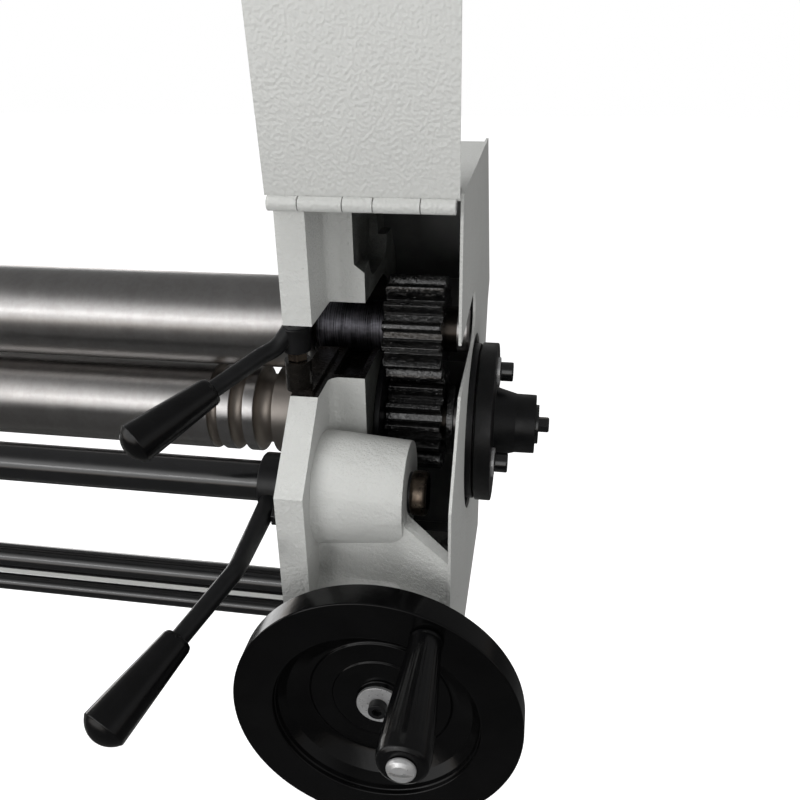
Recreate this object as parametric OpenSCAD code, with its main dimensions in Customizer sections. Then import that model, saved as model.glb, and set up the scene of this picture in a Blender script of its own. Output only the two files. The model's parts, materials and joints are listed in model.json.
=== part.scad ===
// Plate rolling machine (three-roll slip roll) on a pedestal stand.
// X runs along the rolls, Y is depth with the operator at -Y, Z is up from the floor.
// The origin is on the floor, midway between the side frames, under the pinch rolls.

/* [Machine] */
// Clear distance between the two side frames
frame_gap = 1060; // [860:10:1300]
// Height of the lower roll axis above the floor
roll_z = 950; // [900:5:1000]
// Thickness of the cast side plate of each frame
frame_t = 20; // [16:1:24]
// Height of the flat top of the frames above the lower roll axis
frame_top = 209; // [200:1:220]

/* [Rolls] */
// Diameter of the three rolls
roll_d = 75; // [70:0.5:76]
// Opening between the two pinch rolls
roll_gap = 5; // [4:0.5:6]
// Diameter of the journals and drive ends
journal_d = 36; // [32:1:38]
// Radii of the three half-round wire grooves
groove_r = [4.5, 6, 8];
// Distance of each wire groove from the right frame
groove_at = [94, 73.5, 50.5];

/* [Gear train] */
// Teeth on each of the two equal gears
teeth = 15; // [15:1:15]
// Gear module
gear_m = 5; // [5:0.05:5.1]
// Face width of the gears
gear_w = 45; // [38:1:45]
// Width of the gear case beside the cast side plate
case_w = 99.4; // [98:0.2:105]
// Thickness of the sheet of the gear case
sheet_t = 2; // [1.5:0.5:3]

/* [Lid] */
// Diameter of the hinge barrel
barrel_d = 12; // [10:0.5:13]
// Opening angle of the lid as drawn, from closed
lid_open = 176; // [150:1:178]
// Thickness of the lid plate
lid_t = 2.5; // [2:0.5:3]

/* [Controls] */
// Diameter of the handwheels
wheel_d = 200; // [180:5:205]
// Height of the handwheel axis below the lower roll axis
wheel_drop = 125; // [120:1:130]
// Radius on which the revolving handle turns
crank_r = 84; // [78:1:86]
// Diameter of the cross shaft
cross_d = 30; // [25:1:32]
// Diameter of the lever rods
lever_d = 12; // [10:0.5:13]

/* [Stand] */
// Depth of each pedestal column
ped_depth = 280; // [250:5:290]
// Height of the stretchers above the floor
stretcher_z = 90; // [80:5:110]

/* [Hidden] */
$fn = 64;
e = 0.05;
run = 0.05;
fx = frame_gap / 2;
centre = roll_d + roll_gap;
up_z = roll_z + centre;
jr = journal_d / 2;
rr = roll_d / 2;
top_z = roll_z + frame_top;
bot_z = roll_z - 205;
face_y = -113;
low_y = -165;
web_y = -160;
wall_y = -137;
plate_x = fx + frame_t + case_w;
case_x = plate_x - sheet_t - 0.1;
block_x = plate_x - 73.4;
gear_x = block_x + 6;
cross_y = -108;
cross_z = roll_z - 5;
boss_x = plate_x - 29.4;
rear_y = 112;
rear_z = roll_z + 40;
wheel_x = plate_x - 45.4;
wheel_z = roll_z - wheel_drop;
wheel_y = -210;
seat_y = wheel_y + 16 * wheel_d / 200;
hinge_y = face_y - 7;
hinge_z = top_z - 4;
hub_x = plate_x + 5.6;
slot_lo = roll_z + 68;
slot_hi = roll_z + 122;
rod_y = -16;
rod_z = roll_z - 176;
rod2_y = -32;
rod2_z = roll_z - 194.4;
steel = [0.72, 0.72, 0.73];
black = [0.07, 0.07, 0.08];
paint = [0.78, 0.78, 0.76];

// Extrudes a side-view outline, drawn in Y and Z, from x0 by a thickness t.
module slab(x0, t) {
  translate([x0, 0, 0])
    rotate([90, 0, 90])
      linear_extrude(t)
        children();
}

// Cylinder along X from x0 with length l.
module xcyl(x0, l, r, y = 0, z = 0, fn = 64) {
  translate([x0, y, z])
    rotate([0, 90, 0])
      cylinder(h = l, r = r, $fn = fn);
}

// Cylinder along Y from y0 with length l.
module ycyl(y0, l, r, x = 0, z = 0, fn = 64) {
  translate([x, y0, z])
    rotate([-90, 0, 0])
      cylinder(h = l, r = r, $fn = fn);
}

// Tapered rod between two points.
module rod(p, q, r1, r2) {
  d = q - p;
  l = norm(d);
  translate(p)
    rotate([0, acos(d[2] / l), atan2(d[1], d[0])])
      cylinder(h = l, r1 = r1, r2 = r2, $fn = 32);
}

// Upright concave fillet of radius r in the corner between a plate and a web.
module fillet(h, r) {
  linear_extrude(h)
    difference() {
      translate([-1, -r])
        square([r + 1, r + 1]);
      translate([r, -r])
        circle(r = r, $fn = 48);
    }
}

// Outline of the cast side plate seen from the side.
module frame_outline() {
  polygon([[face_y, top_z], [face_y, slot_hi], [face_y + 3.5, slot_lo],
           [low_y + 2, roll_z + 17.5], [low_y, bot_z], [140, bot_z], [140, roll_z - 180],
           [116, roll_z - 160], [118, roll_z], [143, roll_z + 7], [159, roll_z + 49],
           [174, roll_z + 65], [92, top_z]]);
}

// Open slot that the upper journal lifts out of.
module frame_slot() {
  polygon([[face_y - 60, slot_lo], [face_y - 60, slot_hi], [0, slot_hi], [0, slot_lo]]);
  translate([0, (slot_lo + slot_hi) / 2])
    circle(r = (slot_hi - slot_lo) / 2);
  translate([0, up_z])
    circle(r = jr + 3.2 + e);
}

// One cast side frame, drawn for the right hand end.
module frame() {
  difference() {
    union() {
      slab(fx, frame_t)
        frame_outline();
      slab(fx + frame_t - 1, 19.7)
        polygon([[-63.4, slot_hi], [-63.4, top_z - sheet_t - 0.3],
                 [40, top_z - sheet_t - 0.3], [58, slot_hi]]);
      slab(fx + frame_t - 1, block_x - fx - frame_t + 1)
        polygon([[-63.4, slot_hi - 2], [-63.4, slot_hi + 22], [-50, slot_hi + 26],
                 [44, slot_hi + 26], [62, slot_hi], [70, roll_z + 20], [62, roll_z - 52],
                 [-60, roll_z - 60], [-75, roll_z - 40], [-75, slot_lo], [-40, slot_lo]]);
      // Fillets between the webs and the plate.
      translate([fx + frame_t, -63.4, slot_hi + 2])
        fillet(top_z - sheet_t - slot_hi - 2.3, 10);
      translate([fx + frame_t, -75, roll_z + 25])
        fillet(slot_lo - roll_z - 25, 8);
      // Bearing housing of the rear roll.
      xcyl(fx + frame_t - 1, 27, 34, rear_y, rear_z);
      // Tapered bearing boss of the cross shaft, with its root fillet.
      translate([fx + frame_t - 1, cross_y, cross_z])
        rotate([0, 90, 0])
          cylinder(h = boss_x - fx - frame_t + 1, r1 = 42, r2 = 37.5);
      translate([fx + frame_t, cross_y, cross_z])
        rotate([0, 90, 0])
          rotate_extrude($fn = 64)
            difference() {
              translate([30, -1])
                square([21, 10]);
              translate([51, 9])
                circle(r = 9, $fn = 48);
            }
      // Fillet along the foot of the set-back wall.
      slab(fx + frame_t - 1, boss_x - fx - frame_t)
        difference() {
          translate([wall_y - 12, roll_z - 70.5])
            square([13, 12.5]);
          translate([wall_y - 12, roll_z - 58])
            circle(r = 12, $fn = 48);
        }
      // Wall under the boss, set back, with a wing that reaches the side plate.
      intersection() {
        translate([0, 0, roll_z - 71])
          linear_extrude(80)
            polygon([[fx + frame_t - 1, wall_y], [boss_x - 8, wall_y], [case_x, web_y],
                     [case_x, web_y + 12], [boss_x - 2, wall_y + 12],
                     [fx + frame_t - 1, wall_y + 12]]);
        translate([0, 0, 0])
          rotate([90, 0, 0])
            linear_extrude(200)
              polygon([[fx + frame_t - 2, roll_z - 72], [case_x + 1, roll_z - 72],
                       [case_x + 1, roll_z - 27], [boss_x + 7, roll_z - 13],
                       [boss_x + 2, roll_z - 11], [boss_x, roll_z - 6],
                       [fx + frame_t - 2, roll_z - 6]]);
      }
      // Foot of the front wall, flush with the side plate and hollow behind its skin.
      difference() {
        translate([fx + frame_t - 1, web_y, bot_z])
          cube([case_x - fx - frame_t + 1, 35, roll_z - 70 - bot_z]);
        translate([fx + frame_t, web_y + 12, bot_z + 12])
          cube([case_x - fx - frame_t + 5, 30, roll_z - 94 - bot_z]);
      }
      // Bearing boss of the handwheel shaft.
      ycyl(web_y - 8, 48, 24, wheel_x, wheel_z);
      // Floor of the gear case, which sits on the pedestal.
      translate([fx + frame_t - 1, web_y, bot_z])
        cube([case_x - fx - frame_t + 1, 139 - web_y, 12]);
    }
    slab(fx - 1, block_x - fx + 2)
      frame_slot();
    // Shallow pocket in the top of the lower block.
    translate([fx + frame_t + 1.5, -70, slot_lo - 8])
      cube([block_x - fx - frame_t - 6.5, 66, 20]);
    // Cast oval pocket in the upper block.
    slab(fx + frame_t + 12, 20)
      hull() {
        translate([-28, roll_z + 152])
          circle(r = 19, $fn = 32);
        translate([6, roll_z + 152])
          circle(r = 19, $fn = 32);
      }
    xcyl(fx - 1, 60, jr + run, 0, roll_z);
    xcyl(fx - 1, 60, jr + run, rear_y, rear_z);
    xcyl(fx - 1, 200, cross_d / 2 + run, cross_y, cross_z);
    xcyl(fx - 1, frame_t + 2, 12.5, rod_y, rod_z);
    xcyl(fx - 1, frame_t + 2, 8, rod2_y, rod2_z);
    ycyl(web_y - 9, 60, 12 + run, wheel_x, wheel_z);
  }
}

module right_frame() {
  color(paint)
    frame();
}

module left_frame() {
  color(paint)
    mirror([1, 0, 0])
      frame();
}

// Sheet-metal pedestal column with a foot and levelling pads.
module pedestal() {
  w = 92;
  d = ped_depth;
  y0 = -140;
  difference() {
    union() {
      translate([fx + 2, y0, 26])
        cube([w, d, bot_z - 26]);
      translate([fx - 40, y0 - 60, 14])
        cube([w + 80, d + 120, 14]);
    }
    // Recessed door panel in the front.
    translate([fx + 14, y0 - 1, 120])
      cube([w - 24, 3, bot_z - 200]);
  }
  for (x = [fx - 22, fx + w + 22])
    for (y = [y0 - 38, y0 + d + 38])
      translate([x, y, 0])
        cylinder(h = 15, r1 = 20, r2 = 14, $fn = 32);
}

module right_pedestal() {
  color(paint)
    pedestal();
}

module left_pedestal() {
  color(paint)
    mirror([1, 0, 0])
      pedestal();
}

// Side plate outline of the gear case.
module case_outline() {
  polygon([[face_y, top_z + 2.5], [face_y, roll_z + 113.5], [face_y + 3.5, roll_z + 75],
           [low_y + 3.5, roll_z + 15], [low_y + 5, bot_z + 22], [113, bot_z + 22], [115, roll_z],
           [144, roll_z + 7], [160, roll_z + 49], [175, roll_z + 65], [93, top_z + 2.5]]);
}

// Open slot of the side plate, in line with the slot of the frame.
module case_slot() {
  polygon([[face_y - 40, roll_z + 75], [face_y - 40, roll_z + 113.5], [face_y, roll_z + 113.5],
           [-24, roll_z + 119], [-21, roll_z + 75]]);
  translate([-21, roll_z + 97])
    circle(r = 22);
}

module gear_case() {
  color(paint)
    union() {
      difference() {
        slab(plate_x - sheet_t, sheet_t)
          case_outline();
        slab(plate_x - sheet_t - 1, sheet_t + 2)
          case_slot();
        xcyl(plate_x - sheet_t - 1, sheet_t + 2, 72.5, 0, roll_z);
      }
      translate([fx + frame_t, face_y, top_z - sheet_t])
        cube([case_w - 1, 92 - face_y, sheet_t]);
      slab(fx + frame_t, case_w - 1)
        polygon([[92, top_z - 0.01], [173.5, roll_z + 65], [158.5, roll_z + 49.5],
                 [142.5, roll_z + 8], [113.5, roll_z + 1], [111.5, bot_z + 22],
                 [108.5, bot_z + 22], [110.5, roll_z + 3.5], [140.5, roll_z + 10],
                 [156.5, roll_z + 51.5], [170.5, roll_z + 66], [89, top_z - 0.01]]);
      // Returns that close the case against the cast frame, below the rear roll housing.
      translate([fx + frame_t, 108, bot_z + 12.3])
        cube([case_w - 1, 3.5, 12]);
    }
}

// Knuckles of the lid hinge: widths from the left end.
knuckle = [20, 28, 19, 29, 21.6];
hinge_l = case_x - 1.5 - fx + 1;
function kx(i) = i == 0 ? fx - 1 : kx(i - 1) + knuckle[i - 1] * hinge_l / 117.6;
function kw(i) = knuckle[i] * hinge_l / 117.6;

module case_hinge() {
  color(paint)
    difference() {
      union() {
        for (i = [0, 2, 4])
          xcyl(kx(i) + 0.3, kw(i) - 0.6, barrel_d / 2, hinge_y, hinge_z, 32);
        for (i = [0, 2, 4])
          translate([kx(i) + 0.3, hinge_y, top_z])
            cube([kw(i) - 0.6, 12, 2.5]);
        translate([kx(0) + 0.3, face_y + 1, top_z])
          cube([hinge_l - 0.6, 22, 2.5]);
      }
      xcyl(kx(0) - 1, hinge_l + 2, 2.5, hinge_y, hinge_z, 32);
    }
}

module hinge_pin() {
  color(steel)
    xcyl(kx(0), hinge_l, 2.5, hinge_y, hinge_z, 32);
}

// The lid in its closed pose, turned up by lid_open about the hinge axis.
module lid() {
  color(paint)
    translate([0, hinge_y, hinge_z])
      rotate([-lid_open, 0, 0])
        translate([0, -hinge_y, -hinge_z])
          difference() {
            union() {
              for (i = [1, 3])
                xcyl(kx(i) + 0.3, kw(i) - 0.6, barrel_d / 2, hinge_y, hinge_z, 32);
              for (i = [1, 3])
                translate([kx(i) + 0.3, hinge_y, hinge_z - 9])
                  cube([kw(i) - 0.6, 4.2, 9]);
              slab(fx - 2.3, plate_x - fx + 0.7)
                polygon([[face_y - 4.8, hinge_z - 8], [face_y - 4.8, roll_z + 70],
                         [low_y - 2, roll_z + 25], [low_y - 2 - lid_t, roll_z + 23],
                         [face_y - 4.8 - lid_t, roll_z + 68],
                         [face_y - 4.8 - lid_t, hinge_z - 8]]);
            }
            xcyl(kx(0) - 1, hinge_l + 2, 2.5 + run, hinge_y, hinge_z, 32);
          }
}

module upper_roll() {
  color(steel)
    union() {
      xcyl(-fx + 6, 2 * fx - 12, rr, 0, up_z);
      xcyl(-fx - frame_t - 32, fx + frame_t + 32 + case_x - 1.5, jr, 0, up_z);
    }
}

module lower_roll() {
  color(steel)
    difference() {
      union() {
        xcyl(-fx + 6, 2 * fx - 12, rr, 0, roll_z);
        xcyl(-fx - frame_t - 34, fx + frame_t + 34 + hub_x - 15.5, jr, 0, roll_z);
      }
      for (i = [0:2])
        translate([fx - groove_at[i], 0, roll_z])
          rotate([0, 90, 0])
            rotate_extrude($fn = 64)
              translate([rr, 0])
                circle(r = groove_r[i], $fn = 24);
    }
}

module rear_roll() {
  color(steel)
    union() {
      xcyl(-fx + 6, 2 * fx - 12, rr, rear_y, rear_z);
      xcyl(-fx - frame_t - 20, 2 * fx + 2 * frame_t + 40, jr, rear_y, rear_z);
    }
}

// Involute gear outline centred on the origin, first tooth along +X.
function inv_pt(rb, t) = [rb * (cos(t) + t * PI / 180 * sin(t)), rb * (sin(t) - t * PI / 180 * cos(t))];
function inv_t(rb, r) = sqrt(max(0, (r / rb) * (r / rb) - 1)) * 180 / PI;
function spin(p, a) = [p[0] * cos(a) - p[1] * sin(a), p[0] * sin(a) + p[1] * cos(a)];

module gear_outline(z, m) {
  rp = z * m / 2;
  rb = rp * cos(20);
  ra = rp + m;
  rf = rp - 1.25 * m;
  tp = inv_t(rb, rp);
  half = 90 / z + tan(20) * 180 / PI - 20;
  ta = inv_t(rb, ra);
  steps = 5;
  side = [for (i = [0:steps]) spin(inv_pt(rb, ta * i / steps), -half)];
  other = [for (i = [steps:-1:0]) [side[i][0], -side[i][1]]];
  root_a = spin([rf, 0], -half);
  root_b = [root_a[0], -root_a[1]];
  pts = concat([root_a], side, other, [root_b]);
  polygon([for (k = [0:z - 1]) for (p = pts) spin(p, k * 360 / z)]);
}

module spur(x0, z0, phase) {
  translate([x0, 0, z0])
    rotate([90, 0, 90])
      rotate([0, 0, phase])
        linear_extrude(gear_w)
          difference() {
            gear_outline(teeth, gear_m);
            circle(r = jr);
          }
}

module upper_gear() {
  color(black)
    spur(gear_x, up_z, 182.4);
}

module lower_gear() {
  color(black)
    spur(gear_x, roll_z, 93.6);
}

// Bearing sleeve that carries an upper journal in the slot.
module sleeve(x0, l) {
  color(black)
    difference() {
      xcyl(x0, l, jr + 3.2, 0, up_z);
      xcyl(x0 - 1, l + 2, jr + run, 0, up_z);
    }
}

module upper_sleeve() {
  sleeve(fx - 4, gear_x - fx + 2);
}

module left_sleeve() {
  sleeve(-block_x - 2, block_x - fx + 6);
}

module bearing_flange() {
  color(black)
    difference() {
      xcyl(block_x + 0.2, 4.8, 57, 0, roll_z);
      xcyl(block_x - 3, 9, jr + run, 0, roll_z);
    }
}

module shaft_collar() {
  color(black)
    difference() {
      xcyl(gear_x + gear_w + 3, 6, 30, 0, roll_z);
      xcyl(gear_x + gear_w + 2, 8, jr, 0, roll_z);
    }
}

// Flanged drive hub with an inner disc, on the end of the lower roll.
module drive_hub() {
  color(black)
    difference() {
      union() {
        xcyl(hub_x, 13, 65, 0, roll_z, 96);
        xcyl(hub_x - 1.2, 2, 60, 0, roll_z, 96);
        xcyl(hub_x - 7, 6, 64, 0, roll_z, 96);
        xcyl(hub_x - 15.5, 9, 40, 0, roll_z);
        translate([hub_x + 12, 0, roll_z])
          rotate([0, 90, 0])
            cylinder(h = 18, r1 = 29, r2 = 24);
        xcyl(hub_x + 29, 17, 24, 0, roll_z);
      }
      for (a = [80, 200, 320])
        xcyl(hub_x - 5, 19, 5, 43 * cos(a), roll_z + 43 * sin(a), 32);
    }
}

module hub_bolts() {
  color(black)
    for (a = [80, 200, 320])
      translate([0, 43 * cos(a), roll_z + 43 * sin(a)]) {
        xcyl(hub_x - 4, 19, 4.95, 0, 0, 32);
        difference() {
          xcyl(hub_x + 13, 3, 13, 0, 0, 32);
          xcyl(hub_x + 12, 5, 4.95, 0, 0, 32);
        }
        difference() {
          xcyl(hub_x + 15.5, 12, 9, 0, 0, 32);
          translate([hub_x + 21, 0, 0])
            rotate([0, 90, 0])
              cylinder(h = 10, r = 4.6, $fn = 6);
        }
      }
}

module end_washer() {
  color(steel)
    xcyl(hub_x + 46, 2.5, 16, 0, roll_z);
}

module end_screw() {
  color(steel)
    xcyl(hub_x + 48.5, 8.5, 6.5, 0, roll_z, 6);
}

// Wear plate of the journal slot, with the boss of the release lever.
rel_x = fx + 3;
rel_y = -95;
rel_z = roll_z + 90;

module release_block() {
  color(black)
    difference() {
      union() {
        // Wear plate on the floor of the slot.
        translate([fx + 0.2, -106, slot_lo])
          cube([15.3, 80, 3]);
        // Boss that carries the release lever.
        translate([rel_x, rel_y, slot_lo])
          cylinder(h = rel_z - slot_lo, r = 9.5);
      }
      translate([rel_x, rel_y, slot_lo - 1])
        cylinder(h = 40, r = 5 + e);
    }
}

module release_pin() {
  color(steel)
    union() {
      translate([rel_x, rel_y, slot_lo])
        cylinder(h = 46, r = 5);
      translate([rel_x, rel_y, rel_z])
        cylinder(h = 6.5, r = 9.5, $fn = 6);
    }
}

// Ends of the release lever: elbow, start and end of its grip.
rel_a = [rel_x - 5.6, rel_y - 4.8, rel_z + 15.5];
rel_b = [fx - 17.6, -111, rel_z + 8];
rel_c = [fx - 43, -142, rel_z - 5];
rel_d = rel_c + 54 * (rel_c - rel_b) / norm(rel_c - rel_b);

module release_lever() {
  color(black)
    union() {
      difference() {
        translate([rel_x, rel_y, rel_z + 7])
          cylinder(h = 18, r = 10);
        translate([rel_x, rel_y, rel_z])
          cylinder(h = 40, r = 5.2);
      }
      rod(rel_a, rel_b, lever_d / 2, lever_d / 2);
      translate(rel_b)
        sphere(r = lever_d / 2 + 0.4, $fn = 32);
      rod(rel_b, rel_c, lever_d / 2, lever_d / 2);
    }
}

// Tapered hand grip with a domed end, from p along the line to q.
module grip(p, q) {
  d = q - p;
  l = norm(d);
  color(black)
    translate(p)
      rotate([0, acos(d[2] / l), atan2(d[1], d[0])])
        rotate_extrude($fn = 32)
          polygon([[0, 0], [9, 0], [9.8, 2], [14, l], [13.5, l + 4], [12, l + 7.5],
                   [9.5, l + 10.5], [6, l + 12.8], [0, l + 14]]);
}

module release_grip() {
  grip(rel_c, rel_d);
}

module cross_shaft() {
  color(black)
    xcyl(-boss_x - 7, 2 * boss_x + 14, cross_d / 2, cross_y, cross_z);
}

// Ends of the throw lever: root, elbow, start and end of its grip.
thr_a = [fx - 16, cross_y - 17, cross_z - 4];
thr_b = [fx - 15.5, -202, cross_z - 8.5];
thr_c = [fx - 37, -250, cross_z - 26];
thr_d = thr_c + 57 * (thr_c - thr_b) / norm(thr_c - thr_b);

module throw_lever() {
  color(black)
    difference() {
      union() {
        xcyl(fx - 25, 22, 22, cross_y, cross_z);
        rod(thr_a, thr_b, 7.5, lever_d / 2);
        translate(thr_b)
          sphere(r = lever_d / 2 + 0.4, $fn = 32);
        rod(thr_b, thr_c, lever_d / 2, lever_d / 2);
      }
      xcyl(fx - 26, 24, cross_d / 2, cross_y, cross_z);
    }
}

module throw_bolt() {
  color(steel)
    xcyl(fx - 8.3, 5, 7, cross_y - 36, cross_z - 5, 6);
}

module throw_grip() {
  grip(thr_c, thr_d);
}

// Dished disc handwheel, drawn around the Y axis with its rim front at y = 0.
module wheel_form() {
  r = wheel_d / 2;
  rotate([-90, 0, 0])
    rotate_extrude($fn = 96)
      polygon([[12, 16], [38, 16], [39, 18], [49, 18], [51, 22], [66, 22], [71, 18],
               [73, 3], [78, 0], [94, 0], [99, 4], [100, 10], [98, 17], [93, 20],
               [78, 21], [74, 27], [30, 29], [24, 36], [12, 36]] * (r / 100));
}

module handwheel() {
  color(black)
    difference() {
      translate([wheel_x, wheel_y, wheel_z])
        wheel_form();
      ycyl(wheel_y - 5, 50, 12, wheel_x, wheel_z);
      ycyl(wheel_y - 5, 40, 6, wheel_x + crank_r * cos(65), wheel_z + crank_r * sin(65), 32);
    }
}

module wheel_shaft() {
  color(steel)
    ycyl(seat_y, -110 - seat_y, 12, wheel_x, wheel_z);
}

module wheel_screw() {
  color(steel)
    difference() {
      union() {
        ycyl(seat_y - 2.5, 2.5, 12.5, wheel_x, wheel_z);
        ycyl(seat_y - 10.5, 8, 6.5, wheel_x, wheel_z, 32);
      }
      translate([wheel_x, seat_y - 11.5, wheel_z])
        rotate([-90, 0, 0])
          cylinder(h = 5, r = 3.4, $fn = 6);
    }
}

module crank_pin() {
  x = wheel_x + crank_r * cos(65);
  z = wheel_z + crank_r * sin(65);
  color(steel)
    difference() {
      union() {
        ycyl(-300, 112, 6, x, z, 32);
        ycyl(-305, 5, 8.5, x, z, 32);
      }
      translate([x - 9, -306, z - 1])
        cube([18, 2.5, 2]);
    }
}

module crank_handle() {
  x = wheel_x + crank_r * cos(65);
  z = wheel_z + crank_r * sin(65);
  color(black)
    translate([x, -299.5, z])
      rotate([-90, 0, 0])
        rotate_extrude($fn = 48)
          polygon([[6 + run, 0], [10.5, 0], [12.5, 2], [13, 8], [12.6, 22], [10, 50],
                   [8.6, 74], [9.4, 84], [10.5, 88.5], [6 + run, 88.5]]);
}

module right_handwheel() {
  handwheel();
}

module right_wheel_shaft() {
  wheel_shaft();
}

module right_wheel_screw() {
  wheel_screw();
}

module right_crank_pin() {
  crank_pin();
}

module right_crank_handle() {
  crank_handle();
}

module left_handwheel() {
  mirror([1, 0, 0])
    handwheel();
}

module left_wheel_shaft() {
  mirror([1, 0, 0])
    wheel_shaft();
}

module left_wheel_screw() {
  mirror([1, 0, 0])
    wheel_screw();
}

module left_crank_pin() {
  mirror([1, 0, 0])
    crank_pin();
}

module left_crank_handle() {
  mirror([1, 0, 0])
    crank_handle();
}

module front_tie_rod() {
  color(black)
    xcyl(-fx - frame_t + 1, 2 * (fx + frame_t) - 2, 12.5, rod_y, rod_z);
}

module lower_tie_rod() {
  color(black)
    xcyl(-fx - frame_t + 1, 2 * (fx + frame_t) - 2, 8, rod2_y, rod2_z);
}

module tie_bar() {
  color(paint)
    translate([-fx - 2, 35, roll_z - 250])
      cube([2 * fx + 4, 12, 24]);
}

module front_stretcher() {
  color(paint)
    translate([-fx - 2, -100, stretcher_z])
      cube([2 * fx + 4, 40, 50]);
}

module rear_stretcher() {
  color(paint)
    translate([-fx - 2, 60, stretcher_z])
      cube([2 * fx + 4, 40, 50]);
}

right_frame();
left_frame();
right_pedestal();
left_pedestal();
gear_case();
lid();
case_hinge();
hinge_pin();
upper_roll();
lower_roll();
rear_roll();
upper_gear();
lower_gear();
upper_sleeve();
left_sleeve();
bearing_flange();
shaft_collar();
drive_hub();
hub_bolts();
end_washer();
end_screw();
release_block();
release_pin();
release_lever();
release_grip();
cross_shaft();
throw_lever();
throw_bolt();
throw_grip();
right_handwheel();
right_wheel_shaft();
right_wheel_screw();
right_crank_pin();
right_crank_handle();
left_handwheel();
left_wheel_shaft();
left_wheel_screw();
left_crank_pin();
left_crank_handle();
front_tie_rod();
lower_tie_rod();
tie_bar();
front_stretcher();
rear_stretcher();
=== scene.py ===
"""Dresses the plate rolling machine: castings, sheet metal, rolls, gears, levers and handwheels."""
import json
import math

import bmesh
import bpy
from mathutils import Matrix, Vector

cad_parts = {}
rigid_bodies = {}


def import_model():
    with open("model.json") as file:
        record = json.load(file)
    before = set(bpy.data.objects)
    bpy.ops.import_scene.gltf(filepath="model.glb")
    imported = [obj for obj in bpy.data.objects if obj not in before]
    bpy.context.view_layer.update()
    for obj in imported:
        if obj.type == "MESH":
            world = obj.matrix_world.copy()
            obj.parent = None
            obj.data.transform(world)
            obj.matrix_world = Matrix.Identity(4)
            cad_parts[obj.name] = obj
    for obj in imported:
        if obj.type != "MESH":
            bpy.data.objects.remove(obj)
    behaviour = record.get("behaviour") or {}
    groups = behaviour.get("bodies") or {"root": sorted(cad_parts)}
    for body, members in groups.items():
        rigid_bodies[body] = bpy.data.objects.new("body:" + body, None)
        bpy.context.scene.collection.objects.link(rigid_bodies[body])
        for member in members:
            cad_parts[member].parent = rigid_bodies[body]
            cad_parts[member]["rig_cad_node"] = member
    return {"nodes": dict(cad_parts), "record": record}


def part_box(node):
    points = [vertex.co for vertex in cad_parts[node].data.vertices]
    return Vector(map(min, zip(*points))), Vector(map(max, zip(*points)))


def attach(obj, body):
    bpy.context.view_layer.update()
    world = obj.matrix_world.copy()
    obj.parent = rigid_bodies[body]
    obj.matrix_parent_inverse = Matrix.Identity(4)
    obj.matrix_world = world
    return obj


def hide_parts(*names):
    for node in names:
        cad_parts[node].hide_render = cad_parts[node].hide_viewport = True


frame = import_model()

bl_info = {
    "name": "Plate rolling machine",
    "version": (1, 0, 0),
    "blender": (4, 5, 0),
    "location": "3D View > Sidebar > Rolling machine",
    "description": "Makes the finished pieces of a hand operated plate rolling machine on its frame",
    "category": "Object",
}

MM = 0.001
X_AXIS, Y_AXIS, Z_AXIS = (1, 0, 0), (0, 1, 0), (0, 0, 1)
JOURNAL = 18.0      # radius of the rolls' journals, mm
SIDES = {"right": 1, "left": -1}
BODIES = frame["record"]["behaviour"]["bodies"]
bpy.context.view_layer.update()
BOXES = {}


# ---------------------------------------------------------------- measuring the frame

def corners(node):
    """Lowest and highest corner of a CAD node, in millimetres."""
    if node not in BOXES:
        low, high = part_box(node)
        BOXES[node] = (low / MM, high / MM)
    return BOXES[node]


def middle(node):
    low, high = corners(node)
    return (low + high) / 2


def axis_of(node):
    """Where the line along X through a node's middle starts."""
    c = middle(node)
    return (0, c[1], c[2])


def settings():
    return bpy.context.scene.rolling_shape


def paint_settings():
    return bpy.context.scene.rolling_finish


# ---------------------------------------------------------------- shaping helpers

def rounded(points, radius, steps=4):
    """A line of points with each corner rounded off."""
    points = [Vector(p) for p in points]
    made = [points[0]]
    for before, here, after in zip(points, points[1:], points[2:]):
        a, b = before - here, after - here
        if a.length < 1e-6 or b.length < 1e-6:
            continue
        angle = a.angle(b)
        if angle > math.radians(168):
            made.append(here)
            continue
        reach = min(radius / math.tan(angle / 2), a.length * 0.45, b.length * 0.45)
        a.normalize()
        b.normalize()
        for k in range(steps + 1):
            t = k / steps
            made.append(here + a * reach * (1 - t) ** 2 + b * reach * t ** 2)
    made.append(points[-1])
    return made


def ring_profile(low, high, outer, inner=0.0, edge=0.8, steps=4):
    """A bar, disc or sleeve in section, with its outer corners eased."""
    return rounded([(low, inner), (low, outer), (high, outer), (high, inner)], edge, steps)


def bar_profile(low, high, radius, chamfer):
    """A round bar in section, with chamfered ends."""
    return [(low, 0), (low, radius - chamfer), (low + chamfer, radius),
            (high - chamfer, radius), (high, radius - chamfer), (high, 0)]


def plain(obj):
    """Turns an object's evaluated shape into its plain mesh and drops the modifiers."""
    bpy.context.view_layer.update()
    graph = bpy.context.evaluated_depsgraph_get()
    made = bpy.data.meshes.new_from_object(
        obj.evaluated_get(graph), preserve_all_data_layers=True, depsgraph=graph)
    obj.modifiers.clear()
    old = obj.data
    obj.data = made
    bpy.data.meshes.remove(old)
    made.name = obj.name
    return obj


def modified(obj, kind, **values):
    """Runs one modifier on an object and keeps what it makes."""
    modifier = obj.modifiers.new(kind.lower(), kind)
    for key, value in values.items():
        setattr(modifier, key, value)
    return plain(obj)


def link(obj):
    bpy.context.scene.collection.objects.link(obj)
    return obj


def mesh_object(bm, name, materials=()):
    """A bmesh as a linked object with its finishes."""
    mesh = bpy.data.meshes.new(name)
    bm.to_mesh(mesh)
    bm.free()
    for material in materials:
        mesh.materials.append(finish_of(material))
    return link(bpy.data.objects.new(name, mesh))


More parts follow.
